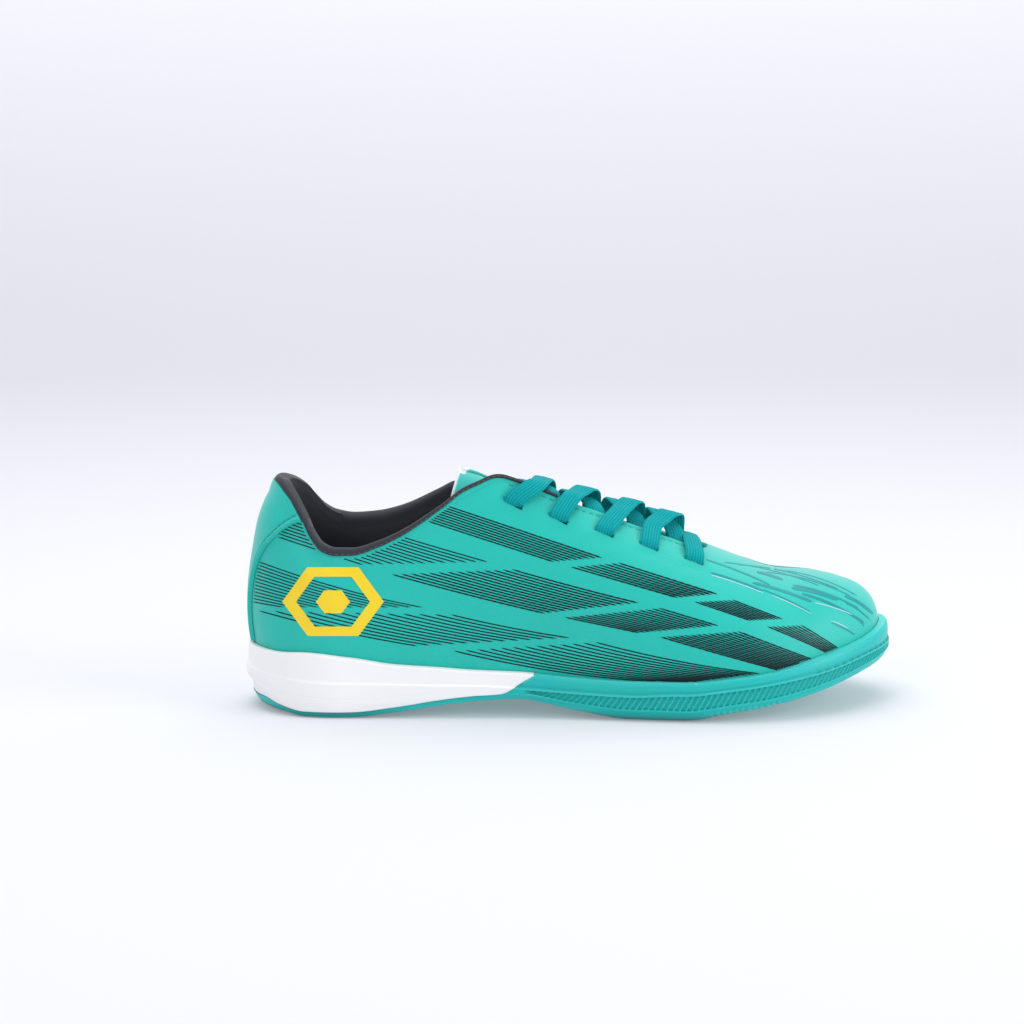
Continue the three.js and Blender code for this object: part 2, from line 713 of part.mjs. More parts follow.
function collarLining() {
  const ROLL = 1.1; // the lip stands so far off the upper and the roll rises above its edge
  const HEM = 0.8; // thickness at the lower end
  const face = UPPER_WALL + LINING_STAND;
  const hook = (thick, deep) => [
    [LIP, ROLL],
    [-ROLL, ROLL],
    [-ROLL - HEM, -HEM],
    [-ROLL, -face - thick * 0.5],
    [deep * 0.3, -face - thick],
    [deep, -face - HEM],
    [deep, -face],
    [deep * 0.66, -face],
    [deep * 0.33, -face],
    [-2 * CLEARANCE, -face],
    [-2 * CLEARANCE, CLEARANCE],
    [LIP, CLEARANCE],
  ];
  const steps = STATIONS.filter((u) => shareAt(u) < COLLAR_END);
  const ring = (u, side) => {
    const share = shareAt(u);
    return hook(PAD.thick(share), PAD.deep(share))
      .map(([down, out]) => skin(u, side, below(u, side, down), out));
  };
  const rings = [
    ...steps.slice(1).reverse().map((u) => ring(u, -1)),
    ...steps.map((u) => ring(u, 1)),
  ];
  return loft(rings, capOf(hook(2, 14)));
}

// Tongue: a soft flap under the throat, from behind the vamp to above the quarters. Its sides
// lie close inside the quarters and its top edge is drawn back towards the corners. Its inner half
// is narrower, because the last falls off more steeply there.
const TONGUE_TOP = 0.355;
const TONGUE_SEAM = 0.69; // from here forwards it rises to the vamp that it is sewn to
const TONGUE_END = 0.745;
const TONGUE_CORNER = 0.04;
const TONGUE_INNER_CORNER = 0.012;
const TONGUE_INNER = 0.8;

function tonguePoint(share, across, sink) {
  const u = stepAt(share);
  const side = across < 0 ? -1 : 1;
  const middle = LAST.centre(share) * BALL_WIDTH;
  const half = TONGUE.half(share) * BALL_WIDTH * (side < 0 ? 1 : TONGUE_INNER);
  const reach = Math.abs(across) * half;
  const inside = (t) => reach - Math.abs(skin(u, side, t).y - middle);
  const t = reach < 0.01 ? 1 : climbUntil((v) => (v < 0.3 ? -1 : inside(v)));
  const hang = TONGUE.drop(share) * INSTEP_HEIGHT;
  const close = TONGUE.side(share) * UPPER_WALL;
  const free = THREE.MathUtils.lerp(hang, close, across ** 2);
  const sewn = THREE.MathUtils.smoothstep(share, TONGUE_SEAM, TONGUE_END);
  return skin(u, side, t, -THREE.MathUtils.lerp(free, UPPER_WALL + 2 * CLEARANCE, sewn) - sink);
}

function tongueGeometry() {
  const [ROWS, COLUMNS] = [12, 10];
  const rows = evenly(0, 1, ROWS).map((f) => evenly(-1, 1, COLUMNS).map((across) => {
    const corner = across < 0 ? TONGUE_CORNER : TONGUE_INNER_CORNER;
    const share = THREE.MathUtils.lerp(TONGUE_TOP - corner * across ** 2, TONGUE_END, f);
    return [tonguePoint(share, across, 0), tonguePoint(share, across, TONGUE_THICKNESS)];
  }));
  return sheet([{ rows, flip: false }]);
}

// A flat lace strand through points; broad names the direction that its width lies along
function strand(points, broad) {
  const route = new THREE.CatmullRomCurve3(points, false, "centripetal");
  const STEPS = 11;
  const corners = [[-1, -1], [1, -1], [1, 1], [-1, 1]];
  const rings = evenly(0, 1, STEPS).map((f) => {
    const at = route.getPoint(f);
    const run = route.getTangent(f);
    const wide = broad.clone().addScaledVector(run, -broad.dot(run)).normalize();
    const flat = new THREE.Vector3().crossVectors(run, wide).normalize();
    return corners.map(([a, b]) => at.clone()
      .addScaledVector(wide, (a * LACE_WIDTH) / 2)
      .addScaledVector(flat, (b * LACE_THICKNESS) / 2));
  });
  return solidFrom(loft(rings, [[0, 1, 2], [0, 2, 3]]));
}

// How high a strand stands off the skin over the slot, over the edge and at its crown
const REST = CLEARANCE + LACE_THICKNESS / 2 + 0.25;
const CROWN = LACE_THICKNESS; // more over the edge of the throat, and up from the slot
const EDGE_AHEAD = 0.016; // share from a slot to where its strand passes the edge
const TUCK = 4.2; // inside the far edge, where a strand goes down
// Way across, way along and share of the rise of the points that an arch runs through
const ARCH = [[0.25, 0.4, 0.75], [0.5, 0.7, 1], [0.78, 0.9, 0.75]];

// A strand from slot k over the edge of the throat, arched across as it runs forward, and down
// beside the far edge
function crossingStrand(k, side, rise) {
  const here = eyelet(k, side);
  const start = here.at.clone().addScaledVector(here.out, REST).addScaledVector(here.climb, CROWN);
  const edgeU = stepAt(EYELETS[k][0] + EDGE_AHEAD);
  const overEdge = skin(edgeU, side, edgeAt(edgeU, side), REST + CROWN);
  const farU = stepAt(EYELETS[k + 1][0] - EYELETS[k + 1][2]);
  const farEdge = skin(farU, -side, edgeAt(farU, -side), -0.5);
  const end = farEdge.clone().addScaledVector(new THREE.Vector3(0, side, 0), TUCK);
  const route = (across, along, up) => {
    const p = overEdge.clone().lerp(end, across);
    p.x = THREE.MathUtils.lerp(overEdge.x, end.x, along);
    p.z += up * rise;
    return p;
  };
  const broad = eyelet(k + 1, side).at.clone().sub(here.at).setY(0).normalize();
  return strand([start, overEdge, ...ARCH.map((row) => route(...row)), end], broad);
}

// Straight bar over the toe end of the throat, from slot to slot
function laceBar() {
  const k = EYELETS.length - 1;
  const [outer, inner] = [eyelet(k, -1), eyelet(k, 1)];
  const foot = ({ at, out, climb }) => at.clone().addScaledVector(out, REST).addScaledVector(climb, CROWN);
  const u = outer.u;
  const edge = (side) => skin(u, side, edgeAt(u, side), REST + 0.3);
  const top = edge(-1).add(edge(1)).multiplyScalar(0.5);
  top.z += 0.8;
  return strand([foot(outer), edge(-1), top, edge(1), foot(inner)], outer.along);
}

// The shoe

const shoe = new THREE.Group();

function place(name, geometry, color, roughness) {
  const flat = geometry.getIndex() ? geometry.toNonIndexed() : geometry;
  flat.computeVertexNormals();
  const material = new THREE.MeshStandardMaterial({ color, roughness, metalness: 0 });
  const mesh = new THREE.Mesh(flat, material);
  mesh.name = name;
  shoe.add(mesh);
}

const TEAL = 0x19beb4;
const DEEP_TEAL = 0x14aaa4;
const BLACK = 0x26272b;
const WHITE = 0xf1f1f3;

const block = soleBlock();
const outsole = block.subtract(acrossSole(wedgeProfile(0)))
  .subtract(joined(treadGrooves()))
  .subtract(joined(ribGrooves()));
const midsole = block.intersect(acrossSole(wedgeProfile(CLEARANCE)));
const slots = [-1, 1].flatMap((side) => EYELETS.map((_, k) => laceSlot(k, side)));

place("outsole", geometryFrom(outsole), DEEP_TEAL, 0.6);
place("midsole", geometryFrom(midsole), WHITE, 0.55);
place("insole", insoleGeometry(), BLACK, 0.9);
place("upper", geometryFrom(upperBlank().subtract(joined(slots))), TEAL, 0.7);
place("heel_stay", heelStay(), TEAL, 0.65);
place("collar_lining", collarLining(), BLACK, 0.9);
place("tongue", tongueGeometry(), TEAL, 0.8);
for (let k = 0; k < EYELETS.length - 1; k += 1) {
  const lower = crossingStrand(k, 1, LACE_RISE - LACE_THICKNESS + CLEARANCE);
  const upper = crossingStrand(k, -1, LACE_RISE);
  place(`lace_cross_${k + 1}`, geometryFrom(lower.add(upper)), DEEP_TEAL, 0.8);
}
place("lace_bar", geometryFrom(laceBar()), DEEP_TEAL, 0.8);

// The widest points of the sole lie equally far from the middle line
const widest = (side) => Math.max(...STATIONS.map((u) => side * planPoint(u, side).y));
shoe.position.y = (widest(-1) - widest(1)) / 2;

export default shoe;
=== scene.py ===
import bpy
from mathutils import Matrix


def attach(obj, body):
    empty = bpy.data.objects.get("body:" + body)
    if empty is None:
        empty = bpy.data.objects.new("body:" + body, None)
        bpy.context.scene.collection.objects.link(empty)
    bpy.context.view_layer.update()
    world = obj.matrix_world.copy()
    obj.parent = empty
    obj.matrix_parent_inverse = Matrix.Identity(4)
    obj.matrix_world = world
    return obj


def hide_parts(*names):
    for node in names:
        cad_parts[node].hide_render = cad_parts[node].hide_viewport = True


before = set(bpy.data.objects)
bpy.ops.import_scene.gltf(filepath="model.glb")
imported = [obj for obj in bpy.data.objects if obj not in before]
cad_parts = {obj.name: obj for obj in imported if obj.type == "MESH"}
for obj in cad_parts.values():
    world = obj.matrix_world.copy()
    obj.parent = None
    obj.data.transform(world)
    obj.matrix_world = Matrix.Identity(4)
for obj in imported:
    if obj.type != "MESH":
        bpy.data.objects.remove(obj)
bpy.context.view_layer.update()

from types import SimpleNamespace

import bpy
import numpy as np
from mathutils import Matrix, Vector

# Camera
# It looks at the outer side of the shoe from 1.25 m, a little from behind and from above, with
# a long lens. Places on the side of the shoe are given as seen from here: millimetres to the
# right of and above the point that it looks at.
CAMERA_TURN = np.radians(-2.0)
CAMERA_RISE = np.radians(9.5)
CAMERA_AWAY = 1250.0
CAMERA_LENS = 103.7
LOOK_AT = np.array([-25.0, 0.0, 81.3])

camera_back = np.array([
    np.sin(CAMERA_TURN) * np.cos(CAMERA_RISE),
    -np.cos(CAMERA_TURN) * np.cos(CAMERA_RISE),
    np.sin(CAMERA_RISE),
])
camera_at = LOOK_AT + camera_back * CAMERA_AWAY
camera_right = np.cross(-camera_back, [0, 0, 1])
camera_right /= np.linalg.norm(camera_right)
camera_up = np.cross(camera_right, -camera_back)

MM = 0.001
camera_data = bpy.data.cameras.new("camera")
camera_data.lens = CAMERA_LENS
camera_data.sensor_width = 36.0
camera_data.clip_start = 0.05
camera = bpy.data.objects.new("camera", camera_data)
bpy.context.collection.objects.link(camera)
camera.location = Vector(camera_at * MM)
camera.rotation_euler = Matrix(np.stack([camera_right, camera_up, camera_back], 1).tolist()).to_euler()
bpy.context.scene.camera = camera
bpy.context.scene.view_settings.view_transform = "Standard"


def seen(points):
    """Where the camera sees points: right and up offsets, scaled to the distance that it looks at."""
    away = points - camera_at
    depth = -(away @ camera_back)
    return CAMERA_AWAY * np.stack([away @ camera_right, away @ camera_up], -1) / depth[..., None]


# Floor and light
# A pale paper sweep under and behind the shoe, one large soft box overhead, a softer one in
# front to the left, and an even white surround.
FLOOR_SHADE = "#cccdd1"
WALL_SHADE = "#8f9093"
FLOOR_DROP = 0.1
SWEEP_HALF_WIDTH = 3000.0
SWEEP_FRONT = 2500.0
SWEEP_DEPTH = 3600.0
SWEEP_RADIUS = 700.0
WALL_RISE = 2500.0
LIGHTS_AIM = Vector((0.0, 0.0, 0.04))


def linear(text, alpha=1.0):
    """An sRGB hex colour as linear RGBA."""
    value = np.array([int(text[i:i + 2], 16) for i in (1, 3, 5)]) / 255.0
    value = np.where(value <= 0.04045, value / 12.92, ((value + 0.055) / 1.055) ** 2.4)
    return (*value.tolist(), alpha)


def new_material(name, color, roughness):
    """A material with its Principled shader's colour and roughness set."""
    material = bpy.data.materials.new(name)
    material.use_nodes = True
    shader = material.node_tree.nodes["Principled BSDF"]
    shader.inputs["Base Color"].default_value = linear(color)
    shader.inputs["Roughness"].default_value = roughness
    return material, shader


def add_node(material, kind, inputs=None, **settings):
    """Adds a node, sets its properties, and fills its inputs with values or links."""
    node = material.node_tree.nodes.new(kind)
    for name, value in settings.items():
        setattr(node, name, value)
    for name, value in (inputs or {}).items():
        if isinstance(value, bpy.types.NodeSocket):
            material.node_tree.links.new(value, node.inputs[name])
        else:
            node.inputs[name].default_value = value
    return node


def link(material, source, target):
    material.node_tree.links.new(source, target)


def mesh_object(name, points, faces, material, angle=35.0):
    """A piece from points in millimetres and faces, smooth except at edges sharper than angle."""
    mesh = bpy.data.meshes.new(name)
    mesh.from_pydata(np.asarray(points) * MM, [], np.asarray(faces).tolist())
    mesh.validate()
    mesh.shade_smooth()
    mesh.set_sharp_from_angle(angle=np.radians(angle))
    mesh.materials.append(material)
    piece = bpy.data.objects.new(name, mesh)
    bpy.context.collection.objects.link(piece)
    return piece


def grid_faces(rows, columns, around=False):
    """Quads of a grid numbered row by row; around closes the columns into a ring."""
    i = np.arange(rows - 1)[:, None]
    j = np.arange(columns if around else columns - 1)[None, :]
    right = (j + 1) % columns
    quads = [i * columns + j, i * columns + right, (i + 1) * columns + right, (i + 1) * columns + j]
    return np.stack(quads, -1).reshape(-1, 4)


paper, paper_shader = new_material("pale_paper", FLOOR_SHADE, 0.9)
paper_shader.inputs["Specular IOR Level"].default_value = 0.1
paper_place = add_node(paper, "ShaderNodeTexCoord").outputs["Object"]
paper_height = add_node(paper, "ShaderNodeSeparateXYZ", {"Vector": paper_place})
# The wall gets less light than the floor, so it glows more and shades less
climb_up = add_node(paper, "ShaderNodeMapRange", {"Value": paper_height.outputs["Z"], "From Max": 0.5})
paper_tone = add_node(paper, "ShaderNodeMix", {
    "Factor": climb_up.outputs["Result"], 6: linear(FLOOR_SHADE), 7: linear(WALL_SHADE),
}, data_type="RGBA")
link(paper, paper_tone.outputs[2], paper_shader.inputs["Base Color"])
paper_glow = add_node(paper, "ShaderNodeMapRange", {
    "Value": climb_up.outputs["Result"], "To Min": 0.22, "To Max": 0.93,
})
paper_shader.inputs["Emission Color"].default_value = linear("#f6f7fd")
link(paper, paper_glow.outputs["Result"], paper_shader.inputs["Emission Strength"])
across, bend = np.meshgrid(np.linspace(-SWEEP_HALF_WIDTH, SWEEP_HALF_WIDTH, 5), np.linspace(0, 1, 60))
flat_end, wall_start = 0.5, 0.8
angle = np.clip((bend - flat_end) / (wall_start - flat_end), 0, 1) * np.pi / 2
on_floor = np.minimum(bend, flat_end) / flat_end
on_wall = np.maximum(0, bend - wall_start) / (1 - wall_start)
sweep_y = -SWEEP_FRONT + on_floor * SWEEP_DEPTH + SWEEP_RADIUS * np.sin(angle)
sweep_z = SWEEP_RADIUS * (1 - np.cos(angle)) + on_wall * WALL_RISE
sweep = np.stack([across, sweep_y, sweep_z - FLOOR_DROP], -1).reshape(-1, 3)
floor = mesh_object("floor", sweep, grid_faces(60, 5), paper, 180.0)

world = bpy.data.worlds.new("surround")
bpy.context.scene.world = world
world.use_nodes = True
world.node_tree.nodes["Background"].inputs["Color"].default_value = linear("#fbfcff")
world.node_tree.nodes["Background"].inputs["Strength"].default_value = 0.52

LIGHTS = {
    # name: (place in m, size in m, power in W)
    "soft_box_top": ((-0.05, 0.15, 1.1), 1.1, 8.0),
    "soft_box_front": ((-0.9, -1.3, 0.75), 1.0, 5.5),
    "soft_box_toe": ((1.25, -0.55, 0.5), 0.9, 10.0),
}
for light_name, (spot, size, power) in LIGHTS.items():
    light_data = bpy.data.lights.new(light_name, "AREA")
    light_data.size = size
    light_data.energy = power
    light = bpy.data.objects.new(light_name, light_data)
    bpy.context.collection.objects.link(light)
    light.location = spot
    light.rotation_euler = (LIGHTS_AIM - Vector(spot)).to_track_quat("-Z", "Y").to_euler()

# Upper
# One closed shell of coated microfibre, teal, with a fine leather grain. It is pulled over a
# last: its sections climb from the sole over the belly to the ridge and fan out round the heel
# and the toe. Its edge is turned at the throat, and each slot is punched through for the lace.
SOLE_LENGTH = 276.0
BALL_WIDTH = 94.0
HEEL_WIDTH = 67.0
SOLE_HEIGHT = 27.0
ARCH_RISE = 7.4
TOE_SPRING = 17.6
INSTEP_HEIGHT = 98.0
HEEL_HEIGHT = 96.5
CLEARANCE = 0.3
UPPER_WALL = 2.2
FEATHER_INSET = 5.5
HEEL_ROUND = 0.15
TOE_ROUND = 0.24
U_HEEL = 0.18
U_TOE = 0.715
THROAT_END = 0.712
THROAT_ROUND = 0.03
LACE_WIDTH = 8.0
LACE_THICKNESS = 1.5
SLOT_OPEN = 2.0
# share of the length, drop below the edge of the throat, distance back to the strand before it
EYELETS = [(0.408, 11, 0.018), (0.476, 11, 0.018), (0.545, 11.3, 0.018), (0.613, 11.8, 0.018),
           (0.682, 13, 0.031)]


def curve(rows, column):
    """A smooth curve through one column of a table, which doesn't swing past its rows."""
    at = np.array([row[0] for row in rows], float)
    value = np.array([row[column] for row in rows], float)
    rise = np.diff(value) / np.diff(at)
    product = rise[:-1] * rise[1:]
    total = np.where(product > 0, rise[:-1] + rise[1:], 1.0)
    middle = np.where(product > 0, 2 * product / total, 0.0)
    tangent = np.concatenate([[rise[0]], middle, [rise[-1]]])

    def read(place):
        place = np.clip(place, at[0], at[-1])
        i = np.clip(np.searchsorted(at, place) - 1, 0, len(at) - 2)
        span = at[i + 1] - at[i]
        f = (place - at[i]) / span
        return (value[i] * (2 * f**3 - 3 * f**2 + 1) + tangent[i] * span * (f**3 - 2 * f**2 + f)
                + value[i + 1] * (3 * f**2 - 2 * f**3) + tangent[i + 1] * span * (f**3 - f**2))

    return read


def table(names, rows):
    """Curves by name over the first column of the rows."""
    return SimpleNamespace(**{name: curve(rows, k + 1) for k, name in enumerate(names.split())})


PLAN = table("heel ball centre", [
    (0.15, 0.495, 0, -0.002), (0.25, 0.42, 0.052, -0.011), (0.35, 0.3, 0.1245, -0.03),
    (0.45, 0.17, 0.2245, -0.048), (0.55, 0.07, 0.338, -0.0585), (0.65, 0.02, 0.438, -0.0425),
    (0.72, 0, 0.489, -0.021), (0.78, 0, 0.498, 0.002), (0.84, 0, 0.498, 0.03),
    (0.9, 0, 0.498, 0.0585), (0.95, 0, 0.498, 0.087), (1, 0, 0.498, 0.106),
])
SOLE = table("spring arch edge step top bed", [
    (0, 0, 0.27, 0.35, 0.648, 0.993, 0.741), (0.045, 0, 0.08, 0.17, 0.593, 0.975, 0.726),
    (0.09, 0, 0, 0.02, 0.556, 1, 0.715), (0.16, 0, 0, 0.022, 0.533, 0.933, 0.681),
    (0.225, 0, 0.24, 0.03, 0.519, 0.826, 0.63), (0.29, 0, 0.6, 0.037, 0.504, 0.778, 0.548),
    (0.35, 0, 0.86, 0.041, 0.496, 0.73, 0.489), (0.414, 0, 1, 0.056, 0.47, 0.707, 0.444),
    (0.492, 0, 0.46, 0.081, 0.422, 0.644, 0.385), (0.58, 0, 0, 0.119, 0.396, 0.611, 0.333),
    (0.66, 0, 0, 0.111, 0.433, 0.611, 0.326), (0.733, 0.16, 0, 0.104, 0.407, 0.567, 0.267),
    (0.801, 0.318, 0, 0.089, 0.385, 0.541, 0.259), (0.882, 0.568, 0, 0.089, 0.341, 0.556, 0.259),
    (0.957, 0.858, 0, 0.089, 0.3, 0.519, 0.226), (1, 1, 0, 0.111, 0.267, 0.57, 0.193),
])
LAST = table("spine ridge centre belly rise reach", [
    (0, 0.144, 1.306, 0, 0.216, 0.35, 0.53), (0.06, 0.154, 1.306, 0, 0.165, 0.36, 0.62),
    (0.12, 0.173, 1.306, 0, 0.125, 0.38, 0.71), (0.2, 0.212, 1.295, 0, 0.1, 0.42, 0.75),
    (0.3, 0.3, 1.24, 0, 0.09, 0.48, 0.76), (0.365, 0.365, 1.175, 0.01, 0.09, 0.52, 0.76),
    (0.42, 0.42, 1.085, 0.015, 0.09, 0.52, 0.77), (0.5, 0.5, 0.948, 0.016, 0.09, 0.52, 0.77),
    (0.55, 0.55, 0.878, 0.016, 0.09, 0.52, 0.77), (0.61, 0.61, 0.797, 0.018, 0.09, 0.52, 0.76),
    (0.68, 0.68, 0.711, 0.021, 0.085, 0.52, 0.75), (0.72, 0.72, 0.645, 0.026, 0.08, 0.52, 0.74),
    (0.77, 0.768, 0.572, 0.034, 0.07, 0.53, 0.73), (0.82, 0.814, 0.508, 0.043, 0.06, 0.55, 0.72),
    (0.85, 0.84, 0.485, 0.05, 0.052, 0.56, 0.72), (0.9, 0.87, 0.458, 0.062, 0.048, 0.58, 0.73),
    (0.95, 0.896, 0.428, 0.078, 0.045, 0.6, 0.74), (1, 0.925, 0.385, 0.094, 0.045, 0.6, 0.75),
])
COLLAR = table("outer inner", [
    (0, 1, 1), (0.05, 0.998, 0.998), (0.068, 0.955, 0.978), (0.09, 0.868, 0.932),
    (0.105, 0.79, 0.878), (0.12, 0.742, 0.832), (0.14, 0.723, 0.8), (0.165, 0.723, 0.788),
    (0.204, 0.755, 0.798), (0.24, 0.802, 0.825), (0.3, 0.912, 0.91), (0.34, 0.992, 0.975),
    (0.368, 1.015, 0.995), (0.4, 1.3, 1.3),
])
THROAT = table("half", [(0.345, 0.22), (0.375, 0.2), (0.45, 0.18), (0.55, 0.154), (0.68, 0.124)])


def x_at(share):
    return (share - 0.5) * SOLE_LENGTH


def share_of(x):
    return x / SOLE_LENGTH + 0.5


def sole_height(column, share):
    """Height above the floor of one line of the sole's side view."""
    lift = TOE_SPRING * SOLE.spring(share)
    if column == "underside":
        return lift + ARCH_RISE * SOLE.arch(share)
    if column == "edge":
        return lift + ARCH_RISE * SOLE.arch(share) + SOLE_HEIGHT * SOLE.edge(share)
    return lift + SOLE_HEIGHT * getattr(SOLE, column)(share)


def share_at(u):
    """Share of the length at step u: a quarter turn at the heel, the side, a quarter turn at the toe."""
    back = HEEL_ROUND * (1 - np.cos(np.pi / 2 * u / U_HEEL))
    front = 1 - TOE_ROUND * (1 - np.sin(np.pi / 2 * (u - U_TOE) / (1 - U_TOE)))
    middle = np.interp(u, [U_HEEL, U_TOE], [HEEL_ROUND, 1 - TOE_ROUND])
    return np.where(u < U_HEEL, back, np.where(u > U_TOE, front, middle))


def step_at(share):
    """The step u at a share of the length."""
    back = U_HEEL * np.arccos(np.clip(1 - share / HEEL_ROUND, -1, 1)) / (np.pi / 2)
    turn = np.arcsin(np.clip(1 - (1 - share) / TOE_ROUND, -1, 1))
    front = U_TOE + (1 - U_TOE) * turn / (np.pi / 2)
    middle = np.interp(share, [HEEL_ROUND, 1 - TOE_ROUND], [U_HEEL, U_TOE])
    return np.where(share < HEEL_ROUND, back, np.where(share > 1 - TOE_ROUND, front, middle))


def plan_point(u, side):
    """The sole's outline in plan: the middle line plus half a width, rounded off at both ends."""
    share = share_at(u)
    full = PLAN.heel(share) * HEEL_WIDTH + PLAN.ball(share) * BALL_WIDTH
    back = np.maximum(0, 1 - share / HEEL_ROUND)
    front = np.maximum(0, (share - 1) / TOE_ROUND + 1)
    half = full * np.sqrt(np.maximum(0, 1 - back**2)) * np.sqrt(np.maximum(0, 1 - front**2))
    centre = PLAN.centre(share) * BALL_WIDTH * np.minimum(1, share / HEEL_ROUND)
    return np.stack(np.broadcast_arrays(x_at(share), centre + side * half), -1)


def plan_normal(u, side):
    """Outward direction of the outline in plan."""
    step = 1e-3
    tangent = plan_point(np.minimum(1, u + step), side) - plan_point(np.maximum(0, u - step), side)
    tangent /= np.linalg.norm(tangent, axis=-1, keepdims=True)
    normal = np.stack([-side * tangent[..., 1], side * tangent[..., 0]], -1)
    end = np.broadcast_to((u <= 0) | (u >= 1), normal.shape[:-1])[..., None]
    straight = np.stack([np.where(u <= 0, -1.0, 1.0) + 0 * side, 0.0 * u * side], -1)
    return np.where(end, straight, normal)


def outline(u, side, inset, z):
    """A point inside the outline of the sole by an inset, at a height."""
    flat = plan_point(u, side) - plan_normal(u, side) * np.asarray(inset)[..., None]
    return np.stack(np.broadcast_arrays(flat[..., 0], flat[..., 1], z), -1)


def ridge_point(share):
    spine = LAST.spine(share)
    height = TOE_SPRING * SOLE.spring(spine) + INSTEP_HEIGHT * LAST.ridge(share)
    return np.stack([x_at(spine), LAST.centre(share) * BALL_WIDTH, height], -1)


def ridge_slope(share):
    """Slope of the ridge along the foot; the heel has no ridge, so it is level there."""
    behind = ridge_point(np.maximum(0.4, share - 0.02))
    ahead = ridge_point(np.clip(share + 0.02, 0.42, 1))
    slope = (ahead - behind)[..., 2] / np.maximum(1e-6, (ahead - behind)[..., 0])
    return np.where(share < 0.4, 0.0, slope)


def section_point(u, side, t):
    """A cubic curve from the foot of the upper, over its belly and shoulder, to the ridge."""
    u, side, t = np.broadcast_arrays(np.asarray(u, float), side, t)
    side = np.where((u <= 0) | (u >= 1), 1, side)
    share = share_at(u)
    foot = outline(u, side, FEATHER_INSET + 0 * u, sole_height("bed", share))
    top = ridge_point(share)
    out = plan_normal(u, side) * (LAST.belly(share) * HEEL_WIDTH)[..., None]
    belly_z = foot[..., 2] + (top[..., 2] - foot[..., 2]) * LAST.rise(share)
    belly = np.concatenate([foot[..., :2] + out, belly_z[..., None]], -1)
    shoulder = top + (foot - top) * LAST.reach(share)[..., None]
    shoulder[..., 2] = top[..., 2] + ridge_slope(share) * (shoulder[..., 0] - top[..., 0])
    t = t[..., None]
    return ((1 - t)**3 * foot + 3 * (1 - t)**2 * t * belly + 3 * (1 - t) * t**2 * shoulder
            + t**3 * top)


def unit(v):
    return v / np.linalg.norm(v, axis=-1, keepdims=True)


def skin_normal(u, side, t):
    """Outward direction of the upper: across its direction along the foot and its climb."""
    u, side, t = np.broadcast_arrays(np.asarray(u, float), side, t)
    step = 2e-3
    climb = (section_point(u, side, np.minimum(1, t + step))
             - section_point(u, side, np.maximum(0, t - step)))
    along = (section_point(np.minimum(1, u + step), side, t)
             - section_point(np.maximum(0, u - step), side, t))
    normal = np.cross(along, climb) * -side[..., None]
    flat = np.stack([climb[..., 2], 0 * u, -climb[..., 0]], -1)
    normal = np.where((u <= 0)[..., None], -flat, np.where((u >= 1)[..., None], flat, normal))
    slope = ridge_slope(share_at(u))
    level = np.stack([-slope, 0 * u, 1 + 0 * u], -1)
    return unit(np.where(((t > 0.999) & (share_at(u) > 0.4))[..., None], level, normal))


def smooth_skin(u, side, t, out=0.0):
    """The upper's surface without its small relief, moved outwards by out."""
    point = section_point(u, side, t)
    if np.isscalar(out) and out == 0:
        return point
    return point + skin_normal(u, side, t) * np.asarray(out)[..., None]


def first_edge(u, side):
    """First t above the collar's line, or inside the throat; 1 where the upper is closed."""
    u, side = np.broadcast_arrays(np.asarray(u, float), side)

    def over(t):
        p = section_point(u, side, t)
        share = share_of(p[..., 0])
        half = THROAT.half(share) * BALL_WIDTH
        half = half * np.sqrt(np.maximum(0, 1 - np.maximum(0, (share - THROAT_END) / THROAT_ROUND + 1)**2))
        middle = LAST.centre(share_at(u)) * BALL_WIDTH
        inside = np.where(share > THROAT_END, -1.0, half - np.abs(p[..., 1] - middle))
        rim = np.where(side < 0, COLLAR.outer(share), COLLAR.inner(share))
        above = p[..., 2] - HEEL_HEIGHT * rim
        return np.where(share < 0.33, above, np.maximum(above, inside))

    low, high = np.zeros(u.shape), np.ones(u.shape)
    found = np.zeros(u.shape, bool)
    for t in np.linspace(0.025, 1, 40):
        hit = (over(np.full(u.shape, t)) > 0) & ~found
        low, high = np.where(hit, t - 0.025, low), np.where(hit, t, high)
        found |= hit
    for _ in range(26):
        middle = (low + high) / 2
        above = over(middle) > 0
        low, high = np.where(above, low, middle), np.where(above, middle, high)
    return np.where(found, high, 1.0)


throat_u = step_at(THROAT_END - THROAT_ROUND * (1 - np.sin(np.pi / 2 * np.linspace(0, 1, 12))) + 1e-4)
CORNER_AT = 0.372
CORNER_ROUND = 4.5


def edge_table(side):
    """t of the free edge at many steps, with the corner beside the tongue rounded."""
    even = np.linspace(0, 1, 401)
    t = first_edge(even, side)
    reach = np.arange(-14, 15)
    weight = np.exp(-(reach / CORNER_ROUND)**2 / 2)
    soft = np.convolve(t, weight / weight.sum(), "same")
    near_corner = np.exp(-((share_at(even) - CORNER_AT) / 0.045)**4)
    t = t + (soft - t) * near_corner
    at_throat = np.linspace(throat_u[0] - 0.01, throat_u[-1] + 0.002, 90)
    steps = np.concatenate([even, at_throat])
    values = np.concatenate([t, first_edge(at_throat, side)])
    order = np.argsort(steps)
    return steps[order], values[order]


EDGE = {side: edge_table(side) for side in (-1, 1)}


def read_side(u, side, tables):
    """Reads the table of the side that a point lies on."""
    return np.where(side < 0, np.interp(u, *tables[-1]), np.interp(u, *tables[1]))


def free_edge(u, side):
    """t of the free edge: the collar behind, the throat in front, the ridge over the vamp."""
    return read_side(*np.broadcast_arrays(np.asarray(u, float), side), EDGE)


